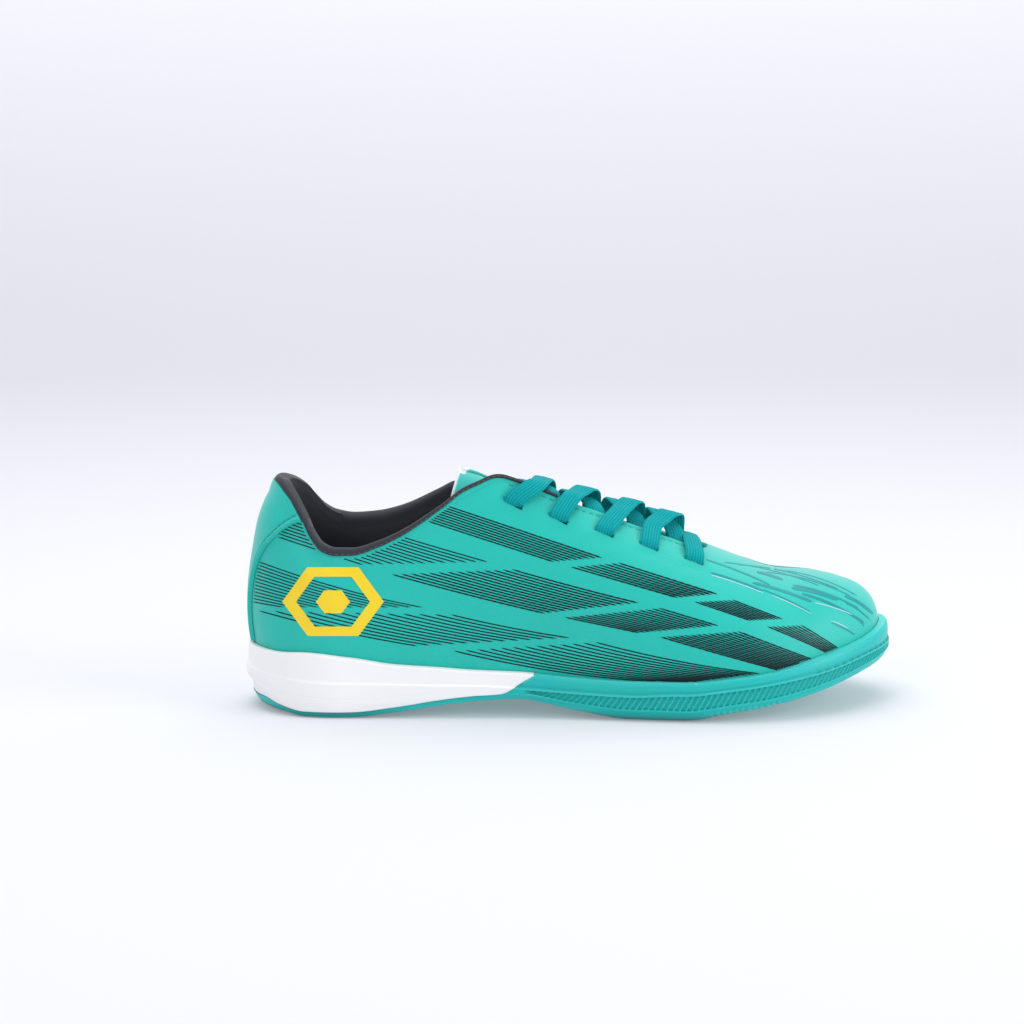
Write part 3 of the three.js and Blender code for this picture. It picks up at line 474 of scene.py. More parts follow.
def below(u, side, distance):
    """t at a distance below the free edge, measured on the surface."""
    u, side, distance = np.broadcast_arrays(np.asarray(u, float), side, np.asarray(distance, float))
    t = free_edge(u, side)
    step = 1e-3
    for _ in range(12):
        rise = (section_point(u, side, np.minimum(1, t + step))
                - section_point(u, side, np.maximum(0, t - step)))
        t = np.clip(t - distance / 12 * 2 * step / np.linalg.norm(rise, axis=-1), 0, 1)
    return t


def eyelet(k, side):
    """Place and frame of a lace slot: along the foot, up the upper, and outwards."""
    share, drop, _ = EYELETS[k]
    u = float(step_at(np.float64(share)))
    t = float(below(u, side, drop))
    along = unit(section_point(u + 1e-3, side, t) - section_point(u - 1e-3, side, t))
    climb = unit(section_point(u, side, t + 1e-3) - section_point(u, side, t - 1e-3))
    return SimpleNamespace(u=u, t=t, at=section_point(u, side, t), along=along, climb=climb,
                           out=skin_normal(u, side, t))


eyelets = {(k, side): eyelet(k, side) for k in range(len(EYELETS)) for side in (-1, 1)}
STEPS = np.linspace(0, 1, 401)


def length_table(side):
    """Length of the upper's section, from the sole to the ridge, at many steps."""
    section = section_point(STEPS[:, None], side, np.linspace(0, 1, 21))
    return STEPS, np.linalg.norm(np.diff(section, axis=1), axis=-1).sum(1)


SECTION_LENGTH = {side: length_table(side) for side in (-1, 1)}


def section_length(u, side):
    return read_side(u, side, SECTION_LENGTH)


def relief(u, side, t):
    """Soft swells: the padding under the collar, and the leather drawn up round each lace slot."""
    u, side, t = np.broadcast_arrays(np.asarray(u, float), side, t)
    down = (free_edge(u, side) - t) * section_length(u, side)
    share = share_at(u)
    back = 1 / (1 + np.exp((share - 0.3) / 0.02))
    front = 1 / (1 + np.exp((share - 0.69) / 0.003)) * (1 - back)
    swell = 0.7 * np.exp(-((down - 15) / 8)**2) * back - 0.3 * np.exp(-((down - 5.5) / 1.6)**2) * back
    groove = -0.28 * np.exp(-((down - 3.3) / 0.5)**2) * front
    fold = 0.25 * np.exp(-((down - 1.2) / 1.1)**2) * front
    point = section_point(u, side, t)
    pucker = np.zeros(u.shape)
    for (_, which), slot in eyelets.items():
        away = point - slot.at
        along = away @ slot.along
        up = away @ slot.climb
        near = np.exp(-(along / 6.5)**2 - (up / 3.6)**2) * (side == which)
        pull = 0.35 * np.exp(-(along / 5)**2 - ((up + 3.5) / 3)**2) * (side == which)
        pucker += 0.55 * near - pull
    return swell + groove + fold + pucker


def skin(u, side, t, out=0.0):
    """The upper's finished surface, moved outwards by out."""
    u, side, t = np.broadcast_arrays(np.asarray(u, float), side, t)
    return smooth_skin(u, side, t, np.asarray(out) + relief(u, side, t))


# The footprint's widest points lie equally far from the middle line, as in the frame
WIDEST = {side: (side * plan_point(STEPS, side)[:, 1]).max() for side in (-1, 1)}
MIDDLE_SHIFT = np.array([0.0, (WIDEST[-1] - WIDEST[1]) / 2, 0.0])


def weld(points, triangles):
    """Points at the same place become one, and faces that vanish by it are dropped."""
    _, first, name = np.unique(np.round(points, 3), axis=0, return_index=True, return_inverse=True)
    triangles = name.reshape(-1)[triangles]
    whole = ((triangles[:, 0] != triangles[:, 1]) & (triangles[:, 1] != triangles[:, 2])
             & (triangles[:, 2] != triangles[:, 0]))
    return points[first], triangles[whole], first


def triangles_of(quads):
    return np.concatenate([quads[:, [0, 1, 2]], quads[:, [0, 2, 3]]])


def outwards(points, triangles):
    """Turns all faces round when the volume that they enclose comes out negative."""
    a, b, c = (points[triangles[:, k]] for k in range(3))
    if np.einsum("ij,ij->", a, np.cross(b, c)) < 0:
        return triangles[:, ::-1]
    return triangles


def open_edges(triangles):
    """Edges with a face on one side only, in the direction in which that face runs."""
    edges = np.concatenate([triangles[:, [0, 1]], triangles[:, [1, 2]], triangles[:, [2, 0]]])
    size = triangles.max() + 1
    code = edges[:, 0] * size + edges[:, 1]
    back = edges[:, 1] * size + edges[:, 0]
    return edges[~np.isin(code, back)]


def shell(outer, inner, triangles):
    """A closed wall: the outer face, the inner one turned round, and strips along open edges."""
    points, faces, first = weld(outer, triangles)
    inside = inner[first]
    count = len(points)
    a, b = open_edges(faces).T
    strips = [np.stack([b, a, a + count], 1), np.stack([b, a + count, b + count], 1)]
    all_faces = np.concatenate([faces, faces[:, ::-1] + count, *strips])
    everything = np.concatenate([points, inside])
    return everything, outwards(everything, all_faces)


def place(name, points, triangles, material, slot, nodes=(), angle=35.0):
    """Makes a piece with its material, lets it ride with the shoe and stand for its nodes; slot is not used.
    """
    piece = mesh_object(name, points + MIDDLE_SHIFT, triangles, material, angle)
    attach(piece, "root")
    if nodes:
        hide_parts(*nodes)
    return piece


def half_rings(stations):
    """Steps and sides round the shoe: the outer half from the front to the heel, then the inner."""
    u = np.concatenate([stations[::-1], stations[1:]])
    side = np.concatenate([np.full(len(stations), -1), np.full(len(stations) - 1, 1)])
    return u, side


upper_stations = np.concatenate([
    np.linspace(0, U_HEEL, 60), np.linspace(U_HEEL, throat_u[0], 120)[1:], throat_u[1:],
    np.linspace(throat_u[-1], 1, 90)[1:],
])
UPPER_U, UPPER_SIDE = half_rings(upper_stations)
EDGE_ROWS = np.array([0.02, 0.12, 0.35, 0.7, 1.1, 1.7, 2.3, 2.8, 3.05, 3.3, 3.55, 3.8, 4.3])
edge_t = np.stack([below(UPPER_U, UPPER_SIDE, d) for d in EDGE_ROWS], 1)
climb_t = edge_t[:, -1:] * np.linspace(0, 1, 74)[None, :-1]
upper_t = np.concatenate([climb_t, edge_t[:, ::-1]], 1)
is_open = free_edge(UPPER_U, UPPER_SIDE) < 0.9999
reach_down = np.concatenate([np.full(73, 9.0), EDGE_ROWS[::-1]])
half_wall = UPPER_WALL / 2
rounded = half_wall * np.sqrt(1 - np.clip(1 - reach_down / half_wall, 0, 1)**2)
rounded = np.where(is_open[:, None], rounded[None, :], half_wall)
U2, S2 = UPPER_U[:, None], UPPER_SIDE[:, None]
upper_t[:, -1] = np.where(is_open, upper_t[:, -1], 1.0)
outer_face = skin(U2, S2, upper_t, rounded - half_wall).reshape(-1, 3)
inner_face = smooth_skin(U2, S2, upper_t, -rounded - half_wall).reshape(-1, 3)
upper_quads = grid_faces(len(UPPER_U), upper_t.shape[1])
upper_points, upper_faces = shell(outer_face, inner_face, triangles_of(upper_quads))

# Coated microfibre has a fine pebble grain about a millimetre across and a soft, low gloss
GRAIN = 1.1 * MM
SKIN_COLOR = "#01b7aa"
SKIN_LIGHT = "#0dbfb3"


def clouded(name, color, light, roughness, scale, detail=2.0):
    """A finish that drifts between two shades; also its shader, its coordinates and its shade."""
    material, shader = new_material(name, color, roughness)
    where = add_node(material, "ShaderNodeTexCoord").outputs["Object"]
    cloud = add_node(material, "ShaderNodeTexNoise", {"Vector": where, "Scale": scale, "Detail": detail})
    tone = add_node(material, "ShaderNodeMix", {
        "Factor": cloud.outputs["Fac"], 6: linear(color), 7: linear(light),
    }, data_type="RGBA")
    link(material, tone.outputs[2], shader.inputs["Base Color"])
    return material, shader, where, tone.outputs[2]


skin_material, skin_shader, skin_where, _ = clouded("teal_microfibre", SKIN_COLOR, SKIN_LIGHT, 0.5, 28.0, 3.0)
skin_pebble = add_node(skin_material, "ShaderNodeTexVoronoi", {
    "Vector": skin_where, "Scale": 1 / GRAIN, "Smoothness": 0.6,
}, feature="SMOOTH_F1")
skin_pore = add_node(skin_material, "ShaderNodeTexNoise", {"Vector": skin_where, "Scale": 2.6 / GRAIN})
skin_height = add_node(skin_material, "ShaderNodeMath", {
    0: skin_pebble.outputs["Distance"], 1: skin_pore.outputs["Fac"],
}, operation="ADD")
skin_bump = add_node(skin_material, "ShaderNodeBump", {
    "Height": skin_height.outputs[0], "Distance": 0.12 * MM, "Strength": 0.5,
})
link(skin_material, skin_bump.outputs["Normal"], skin_shader.inputs["Normal"])
skin_shader.inputs["Specular IOR Level"].default_value = 0.42
skin_shader.inputs["Sheen Weight"].default_value = 0.26
skin_shader.inputs["Sheen Roughness"].default_value = 0.45
upper = place("upper_skin", upper_points, upper_faces, skin_material, "upper_skin", ["upper"], 50.0)


def punch(piece, boxes):
    """Cuts flat boxes, each given by its centre and three half edges, out of a piece."""
    corners = np.array([[a, b, c] for a in (-1, 1) for b in (-1, 1) for c in (-1, 1)], float)
    sides = np.array([[0, 1, 3, 2], [4, 6, 7, 5], [0, 4, 5, 1], [2, 3, 7, 6], [0, 2, 6, 4], [1, 5, 7, 3]])
    points = np.concatenate([centre + corners @ edges for centre, edges in boxes])
    faces = np.concatenate([sides + 8 * k for k in range(len(boxes))])
    cutter = mesh_object("slot_cutter", points + MIDDLE_SHIFT, faces, skin_material, 180.0)
    modifier = piece.modifiers.new("slots", "BOOLEAN")
    modifier.object = cutter
    modifier.solver = "EXACT"
    held = bpy.context.evaluated_depsgraph_get()
    cut = bpy.data.meshes.new_from_object(piece.evaluated_get(held))
    piece.modifiers.clear()
    piece.data = cut
    bpy.data.objects.remove(cutter)


slot_boxes = []
for slot in eyelets.values():
    half_edges = np.stack([
        slot.along * (LACE_WIDTH / 2 + 0.15), np.cross(slot.out, slot.along) * SLOT_OPEN / 2,
        slot.out * UPPER_WALL * 2,
    ])
    slot_boxes.append((slot.at, half_edges))
punch(upper, slot_boxes)

# Sole unit
# One block in two materials, moulded together: teal rubber under the whole foot and up the
# front wall, and a white foam wedge under the heel that runs out to a point at the waist.
HEEL_TREAD = 2.2
WEDGE_FOOT = 0.387
WEDGE_END = 0.438
LEDGE = 0.7
EDGE_IN = 6.0
RIB_PITCH = 2.6
RIB_WIDTH = 1.0
RIB_DEPTH = 0.8
RIB_LEAN = 3.4
RIB_FOOT = 1.9
RIB_HEAD = 0.4
TREAD_DEPTH = 1.2
TREAD_GROOVE = 2.0
TOOTH_PITCH = 2.6


def wedge_height(share):
    """Height of the line between rubber and foam in side view: thin layer, then a slope."""
    knots = np.array([-0.05, 0.022, 0.05, 0.09, 0.16, 0.225, 0.29, 0.345])
    at = np.maximum(0.022, knots)
    low = sole_height("edge", at) + HEEL_TREAD * np.minimum(1, at / 0.09) - 0.4
    low = low - 2.3 * np.clip(1 - (at - 0.022) / 0.07, 0, 1)
    foot = sole_height("edge", WEDGE_FOOT) + HEEL_TREAD - 0.6
    end = sole_height("top", WEDGE_END)
    rows = [*zip(knots, low), (WEDGE_FOOT, foot), (WEDGE_FOOT + 0.036, foot + 5.6), (WEDGE_END, end),
            (WEDGE_END + 0.02, end + 20)]
    return curve(rows, 1)(share)


def wall_inset(share, z):
    """How far the sole's wall lies inside its outline at a height: round edge, wall, ledge, rand."""
    edge = sole_height("edge", share)
    step = sole_height("step", share)
    top = sole_height("top", share)
    under = sole_height("underside", share)
    at_edge = 0.5 + (edge - under) * 0.2
    heights = [edge, edge + (step - edge) * 0.35, step, step + LEDGE, top - 0.8, top]
    insets = [at_edge, 0 * edge, 0 * edge, LEDGE + 0 * edge, 1 + 0 * edge, 1.8 + 0 * edge]
    down = np.clip((edge - z) / (edge - under), 0, 1)
    found = EDGE_IN + (at_edge - EDGE_IN) * np.sqrt(1 - down**2)
    for k in range(5):
        f = np.clip((z - heights[k]) / np.maximum(1e-6, heights[k + 1] - heights[k]), 0, 1)
        found = np.where(z > heights[k], insets[k] + (insets[k + 1] - insets[k]) * f, found)
    return found


def cup_t(u, side, z):
    """t at which the upper, moved out by the clearance, passes a height."""
    t = np.linspace(0, 0.5, 60)
    height = smooth_skin(u[:, None], side[:, None], t[None, :], CLEARANCE)[..., 2]
    passed = np.argmax(height > z[:, None], axis=1)
    rows = np.arange(len(u))
    before = height[rows, np.maximum(0, passed - 1)]
    f = np.clip((z - before) / np.maximum(1e-6, height[rows, passed] - before), 0, 1)
    return np.where(passed > 0, t[np.maximum(0, passed - 1)] + f * (t[1] - t[0]), 0.0)


def close_spine(points, triangles):
    """Welds a grid whose two halves meet along the middle, and fans over any opening left."""
    points, triangles, _ = weld(points, triangles)
    loose = open_edges(triangles)
    if len(loose):
        hub = len(points)
        points = np.concatenate([points, points[loose[:, 0]].mean(0)[None]])
        fan = np.stack([loose[:, 1], loose[:, 0], np.full(len(loose), hub)], 1)
        triangles = np.concatenate([triangles, fan])
    return points, outwards(points, triangles)


def spine_point(share, z):
    """The middle of the sole at a height, between its flat ends."""
    share = np.clip(share, EDGE_IN / SOLE_LENGTH, 1 - EDGE_IN / SOLE_LENGTH)
    centre = PLAN.centre(share) * BALL_WIDTH * np.minimum(1, share / HEEL_ROUND)
    return np.stack(np.broadcast_arrays(x_at(share), centre, z), -1)


def inner_cup(u, side, rim, floor):
    """From the rim of the wall down inside the cup for the upper to the plane under the foot."""
    at_rim = cup_t(u, side, rim)
    ring = [smooth_skin(u, side, at_rim * f, CLEARANCE) for f in (1.0, 0.66, 0.33, 0.0)]
    ring[-1][..., 2] = floor
    return ring


# The rubber. Its front wall carries slanted ribs between a plain lower edge and a ledge, and
# its underside has bars of tread. It is moulded in one colour and has a satin face.
rubber_front = step_at(np.linspace(WEDGE_FOOT + 0.02, 0.76, 330))
rubber_stations = np.concatenate([
    np.linspace(0, rubber_front[0], 210)[:-1], rubber_front, np.linspace(rubber_front[-1], 1, 330)[1:],
])
RU, RS = half_rings(rubber_stations)
r_share = share_at(RU)
r_plan = plan_point(RU, RS)
heel_at = len(rubber_stations) - 1
travelled = np.concatenate([[0], np.cumsum(np.linalg.norm(np.diff(r_plan, axis=0), axis=1))])
travelled = np.abs(travelled - travelled[heel_at])
under = sole_height("underside", r_share)
edge = sole_height("edge", r_share)
step = sole_height("step", r_share)
top = sole_height("top", r_share)
cap = wedge_height(r_share)
bed = sole_height("bed", r_share) - CLEARANCE


def tread(points, inset):
    """Raises the underside in the grooves between its bars; behind the ball they end inside."""
    share = share_of(points[..., 0])
    bars = np.concatenate([np.linspace(0.52, 0.86, 8), np.linspace(0.06, 0.18, 4)])
    wide = TREAD_GROOVE / SOLE_LENGTH / 2
    depth = np.zeros(share.shape)
    runs_out = np.clip((inset - 5.2) / 1.5, 0, 1)
    for bar in bars:
        depth = np.maximum(depth, np.clip((wide - np.abs(share - bar)) / (0.25 * wide), 0, 1) * runs_out)
    teeth = 0.5 + 0.5 * np.cos(2 * np.pi * points[..., 0] / TOOTH_PITCH)
    toothed = np.clip((0.062 - np.abs(share - 0.755)) / 0.01, 0, 1) * np.clip((6.5 - inset) / 2, 0, 1)
    points[..., 2] += TREAD_DEPTH * depth + 0.5 * teeth * toothed
    return points


def wall_row(height, sink=0.0):
    """A row on the outside of the rubber, which ends where the foam begins."""
    height = np.minimum(height, cap)
    return outline(RU, RS, wall_inset(r_share, height) + sink, height)


rubber_rows = []
bottom_in = outline(RU, RS, EDGE_IN + 0 * RU, under)
middle = spine_point(r_share, under)
for f in (0.0, 0.3, 0.6, 0.82, 0.92, 1.0):
    rubber_rows.append(tread(middle + (bottom_in - middle) * f, EDGE_IN + 30 * (1 - f)))
edge_inset = 0.5 + (edge - under) * 0.2
for turn in np.radians([18, 36, 54, 72, 90]):
    inset = EDGE_IN + (edge_inset - EDGE_IN) * np.sin(turn)
    height = edge + (under - edge) * np.cos(turn)
    capped = height > cap
    row = outline(RU, RS, np.where(capped, wall_inset(r_share, cap), inset), np.minimum(height, cap))
    rubber_rows.append(tread(row, inset))
rib_low = edge + RIB_FOOT
rib_high = step - RIB_HEAD
front_only = np.clip((r_share - (WEDGE_FOOT + 0.035)) / 0.012, 0, 1)
for f in (0.3, 0.6, 0.85):
    rubber_rows.append(wall_row(edge + (rib_low - edge) * f))
for f in np.linspace(0, 1, 15):
    phase = ((travelled - RIB_LEAN * f) / RIB_PITCH) % 1.0
    crest = np.clip(1.25 - np.abs(phase - 0.5) / (RIB_WIDTH / RIB_PITCH / 2), 0, 1)
    ends = np.clip(min(f, 1 - f) / 0.07, 0, 1)
    rubber_rows.append(wall_row(rib_low + (rib_high - rib_low) * f,
                                RIB_DEPTH * (1 - crest) * ends * front_only))
for f in (0.0, 0.25, 0.5, 0.75, 1.0):
    rubber_rows.append(wall_row(step - 0.25 + (LEDGE + 0.4) * f))
for f in np.linspace(0.12, 1, 8):
    low = step + LEDGE + 0.2
    rubber_rows.append(wall_row(low + (top - 1.1 - low) * f, -0.25 * np.sin(np.pi * f)))
for turn in np.radians([30, 60, 90]):
    height = np.minimum(top - 1.0 + 1.0 * np.sin(turn), cap)
    inset = np.maximum(1 + 0.8 * (1 - np.cos(turn)), wall_inset(r_share, height))
    rubber_rows.append(outline(RU, RS, inset, height))
for ring in inner_cup(RU, RS, np.minimum(top, cap), bed):
    ring[..., 2] = np.minimum(ring[..., 2], cap)
    rubber_rows.append(ring)
rubber_rows.append(spine_point(r_share, np.minimum(bed, cap)))
rubber_grid = np.stack(rubber_rows, 1)
rubber_quads = grid_faces(*rubber_grid.shape[:2])
rubber_points, rubber_faces = close_spine(rubber_grid.reshape(-1, 3), triangles_of(rubber_quads))

rubber, rubber_shader, rubber_where, rubber_tone = clouded(
    "moulded_rubber", "#04aeab", "#0db9b4", 0.42, 45.0, 4.0)
rubber_shader.inputs["Specular IOR Level"].default_value = 0.35
# Painted light and shade: crests are painted lighter as a highlight, hollows darker as painted shade, and the
# lowest edge darkest as a painted contact shadow
rubber_form = add_node(rubber, "ShaderNodeNewGeometry").outputs["Pointiness"]
rubber_crest = add_node(rubber, "ShaderNodeMapRange", {
    "Value": rubber_form, "From Min": 0.5, "From Max": 0.6,
})
rubber_crest_highlight = add_node(rubber, "ShaderNodeMix", {
    "Factor": rubber_crest.outputs["Result"], 6: rubber_tone, 7: linear("#4fd0cc"),
}, data_type="RGBA")
# Painted shade: the hollows between the ribs are painted darker
rubber_hollow = add_node(rubber, "ShaderNodeMapRange", {
    "Value": rubber_form, "From Min": 0.5, "From Max": 0.42, "To Max": 0.6,
})
rubber_hollow_shade = add_node(rubber, "ShaderNodeMix", {
    "Factor": rubber_hollow.outputs["Result"], 6: rubber_crest_highlight.outputs[2], 7: linear("#027d80"),
}, data_type="RGBA")
# Painted contact shadow: the rubber is darker within a few millimetres of the floor
rubber_level = add_node(rubber, "ShaderNodeSeparateXYZ", {"Vector": rubber_where})
rubber_floor_shadow = add_node(rubber, "ShaderNodeMapRange", {
    "Value": rubber_level.outputs["Z"], "From Min": 4.5 * MM, "From Max": 0.5 * MM, "To Max": 0.75,
})
rubber_final = add_node(rubber, "ShaderNodeMix", {
    "Factor": rubber_floor_shadow.outputs["Result"], 6: rubber_hollow_shade.outputs[2], 7: linear("#02585f"),
}, data_type="RGBA")
link(rubber, rubber_final.outputs[2], rubber_shader.inputs["Base Color"])
rubber_grain = add_node(rubber, "ShaderNodeTexNoise", {"Vector": rubber_where, "Scale": 1 / (0.4 * MM)})
rubber_bump = add_node(rubber, "ShaderNodeBump", {
    "Height": rubber_grain.outputs["Fac"], "Distance": 0.04 * MM, "Strength": 0.5,
})
link(rubber, rubber_bump.outputs["Normal"], rubber_shader.inputs["Normal"])
place("outsole_rubber", rubber_points, rubber_faces, rubber, "outsole_rubber", ["outsole"], 40.0)

# The foam wedge, white, moulded with a soft crest half way up and a few fine lines that fan
# out from the back of the heel.
foam_stations = step_at(np.concatenate([
    share_at(np.linspace(0, U_HEEL, 110)), np.linspace(HEEL_ROUND, WEDGE_END - 0.001, 150)[1:],
]))
FU, FS = half_rings(foam_stations)
f_share = share_at(FU)
f_low = wedge_height(f_share) + 0.05
f_top = np.maximum(sole_height("top", f_share), f_low + 0.05)
f_bed = np.maximum(sole_height("bed", f_share) - CLEARANCE, f_low + 0.05)
foam_rows = [spine_point(f_share, f_low)]
low_outer = outline(FU, FS, wall_inset(f_share, f_low), f_low)
for f in (0.5, 0.97):
    foam_rows.append(foam_rows[0] + (low_outer - foam_rows[0]) * f)
LINE_FADE = 0.3
for f in np.linspace(0, 1, 64):
    height = f_low + (f_top - 0.9 - f_low) * f
    above = (f_top - 0.9 - f_low) * f
    fade = np.clip(1 - f_share / LINE_FADE, 0, 1)
    gather = 1 - 0.55 * f_share / LINE_FADE
    lines = sum(np.exp(-((above - (1.6 + 1.5 * k) * gather) / 0.28)**2) for k in range(5))
    round_off = 0.12 * np.clip(1 - above / 0.5, 0, 1)**2
    inset = wall_inset(f_share, height) + 0.16 * lines * fade**0.5 + round_off
    foam_rows.append(outline(FU, FS, inset, height))
for turn in np.radians([25, 50, 75, 90]):
    height = np.maximum(f_low + 0.04, f_top - 0.9 + 0.9 * np.sin(turn))
    foam_rows.append(outline(FU, FS, 1 + 0.8 * (1 - np.cos(turn)), height))
for ring in inner_cup(FU, FS, f_top, f_bed):
    ring[..., 2] = np.maximum(ring[..., 2], f_low + 0.05)
    foam_rows.append(ring)
foam_rows.append(spine_point(f_share, f_bed))
foam_grid = np.stack(foam_rows, 1)
foam_quads = grid_faces(*foam_grid.shape[:2])
foam_points, foam_faces = close_spine(foam_grid.reshape(-1, 3), triangles_of(foam_quads))

foam, foam_shader, foam_where, _ = clouded("moulded_foam", "#f1f1f4", "#f7f7f8", 0.5, 20.0)
foam_skin = add_node(foam, "ShaderNodeTexNoise", {
    "Vector": foam_where, "Scale": 1 / (0.7 * MM), "Detail": 3.0,
})
foam_bump = add_node(foam, "ShaderNodeBump", {
    "Height": foam_skin.outputs["Fac"], "Distance": 0.05 * MM, "Strength": 0.4,
})
link(foam, foam_bump.outputs["Normal"], foam_shader.inputs["Normal"])
place("heel_wedge", foam_points, foam_faces, foam, "midsole_foam", ["midsole"], 60.0)

# Insole
# A thin board covered in black cloth that lies on the bed, its edge rounded over.
INSOLE_THICKNESS = 4.0
INSOLE_ROUND = 1.5
in_stations = np.concatenate([np.linspace(0, U_HEEL, 60), np.linspace(U_HEEL, 1, 190)[1:]])
IU, IS = half_rings(in_stations)
i_share = share_at(IU)
i_bed = sole_height("bed", i_share)
insole_inset = FEATHER_INSET + UPPER_WALL + CLEARANCE * 1.5
insole_rows = [spine_point(i_share, i_bed), outline(IU, IS, insole_inset + 0 * IU, i_bed)]
for turn in np.radians([0, 30, 60, 90]):
    inset = insole_inset + INSOLE_ROUND * (1 - np.cos(turn))
    height = i_bed + INSOLE_THICKNESS - INSOLE_ROUND * (1 - np.sin(turn))
    insole_rows.append(outline(IU, IS, inset + 0 * IU, height))
rim_row = insole_rows[-1]
i_middle = spine_point(i_share, i_bed + INSOLE_THICKNESS)
for f in np.linspace(0.06, 1, 16):
    insole_rows.append(rim_row + (i_middle - rim_row) * f)
insole_grid = np.stack(insole_rows, 1)
insole_quads = grid_faces(*insole_grid.shape[:2])
insole_points, insole_faces = close_spine(insole_grid.reshape(-1, 3), triangles_of(insole_quads))

KNIT = 0.9 * MM


def knitted(name, color, roughness, depth):
    """Fine black knit: rows of small loops, drawn twice as coarse as real so that they show."""
    material, shader = new_material(name, color, roughness)
    where = add_node(material, "ShaderNodeTexCoord").outputs["Object"]
    loops = add_node(material, "ShaderNodeTexVoronoi", {"Vector": where, "Scale": 1 / KNIT})
    fuzz = add_node(material, "ShaderNodeTexNoise", {"Vector": where, "Scale": 2.2 / KNIT, "Detail": 3.0})
    height = add_node(material, "ShaderNodeMath", {
        0: loops.outputs["Distance"], 1: fuzz.outputs["Fac"],
    }, operation="ADD")
    bump = add_node(material, "ShaderNodeBump", {
        "Height": height.outputs[0], "Distance": depth, "Strength": 0.6,
    })
    link(material, bump.outputs["Normal"], shader.inputs["Normal"])
    shader.inputs["Sheen Weight"].default_value = 0.14
    shader.inputs["Sheen Roughness"].default_value = 0.4
    shader.inputs["Specular IOR Level"].default_value = 0.3
    return material


insole_cloth = knitted("insole_knit", "#1b1c22", 0.95, 0.15 * MM)
place("insole_board", insole_points, insole_faces, insole_cloth, "insole_cloth", ["insole"], 50.0)

# Collar
# Foam rolled in black cloth round the ankle: a hook over the edge of the upper, a full roll on
# top, a seam inside below it, and the padded lining down to the insole. It thins to a flat
# binding beside the laces.
LIP = 2.0
COLLAR_END = 0.475
LINING_STAND = 0.6
PAD = table("thick deep", [
    (0, 5.5, 40), (0.2, 5.5, 34), (0.28, 4, 28), (0.33, 2.2, 18), (0.37, 1.4, 9), (0.5, 1.2, 7),
])
collar_stations = np.concatenate([
    np.linspace(0, U_HEEL, 90), np.linspace(U_HEEL, float(step_at(np.float64(COLLAR_END))), 130)[1:],
])
CU, CS = half_rings(collar_stations)
c_share = share_at(CU)
thick, deep = PAD.thick(c_share), PAD.deep(c_share)
face = UPPER_WALL + LINING_STAND


def pad_row(down, out):
    return skin(CU, CS, below(CU, CS, down), out - relief(CU, CS, below(CU, CS, down)))


def lip_row(down, out):
    """A row on the outside, carried by the finished surface of the upper."""
    return skin(CU, CS, below(CU, CS, down), out)


# Behind the heel the stay climbs to the roll; beside the laces the roll is a flat binding
at_heel = 1 - np.clip((c_share - 0.045) / 0.06, 0, 1)
slim = np.clip((c_share - 0.1) / 0.2, 0, 1)
lip = LIP * (1 - 0.85 * at_heel) * (1 - 0.4 * slim)
bulge = 1 - 0.45 * at_heel - 0.25 * slim
rise = 1 - 0.55 * slim
collar_rows = [lip_row(lip, 0.3 * bulge), lip_row(lip, 0.8 * bulge), lip_row(lip * 0.88, 1.1 * bulge)]
for down, out in [(1.2, 1.3), (0.4, 1.4), (-0.4, 1.25), (-1.1, 0.8), (-1.6, 0.1), (-1.85, -0.8)]:
    collar_rows.append(pad_row(down * (lip / LIP if down > 0 else rise), out * bulge))
for f in np.linspace(0, 1, 26):
    down = -1.7 * rise + (deep + 1.7 * rise) * f
    full = np.sin(np.pi * np.clip(0.12 + 0.95 * f, 0, 1))**0.7
    seam = 0.2 * np.exp(-((down - 3.4) / 1.1)**2) * np.clip((thick - 1.2) / 3, 0, 1)
    out = -face - 0.35 - (thick - 0.4) * full + seam
    out = np.where(down < 0, np.minimum(-1.6 - 1.2 * (down + 1.7 * rise), out * 0.9 - 0.1), out)
    collar_rows.append(pad_row(down, out))
for f in (1.0, 0.66, 0.33):
    collar_rows.append(pad_row(deep * f, -face + 0 * CU))
for down, out in [(-0.6, -face), (-0.7, -1.2), (-0.6, 0.3)]:
    collar_rows.append(pad_row(down + 0 * CU, out + 0 * CU))
collar_grid = np.stack(collar_rows, 1)
collar_quads = grid_faces(*collar_grid.shape[:2], around=True)
collar_points, collar_faces = close_spine(collar_grid.reshape(-1, 3), triangles_of(collar_quads))
lining_cloth = knitted("collar_knit", "#33353c", 0.8, 0.08 * MM)
collar = place("collar_pad", collar_points, collar_faces, lining_cloth, "lining_cloth",
               ["collar_lining"], 60.0)

# Heel stay
# A raised panel of the upper's own material round the back of the heel, its edge turned over a
# cord and stitched down beside it.
STAY_STAND = 0.35
STAY_THICKNESS = 0.85
STAY_SPREAD = 290.0
STAY_TOP = 0.8
STAY = table("half", [
    (0, 0.028), (0.26, 0.0285), (0.375, 0.033), (0.49, 0.0405), (0.6, 0.055), (0.75, 0.081),
    (0.86, 0.099), (1, 0.119),
])


def stay_point(across, up, side):
    """u and t on the stay: across from the middle to its edge, up from the wedge to the lip."""
    u = across * STAY.half(up)
    t = np.linspace(0, 0.6, 80)
    flat_u, flat_side = np.broadcast_arrays(u, side)
    height = smooth_skin(flat_u[..., None], flat_side[..., None], t)[..., 2]
    wall = sole_height("top", share_at(flat_u)) + 2 * CLEARANCE
    low = t[np.argmax(height > wall[..., None], axis=-1)]
    open_lip = np.clip((share_at(flat_u) - 0.045) / 0.06, 0, 1)
    high = below(flat_u, flat_side, STAY_TOP + (LIP + 2 * CLEARANCE - STAY_TOP) * open_lip)
    return flat_u, low + (high - low) * up


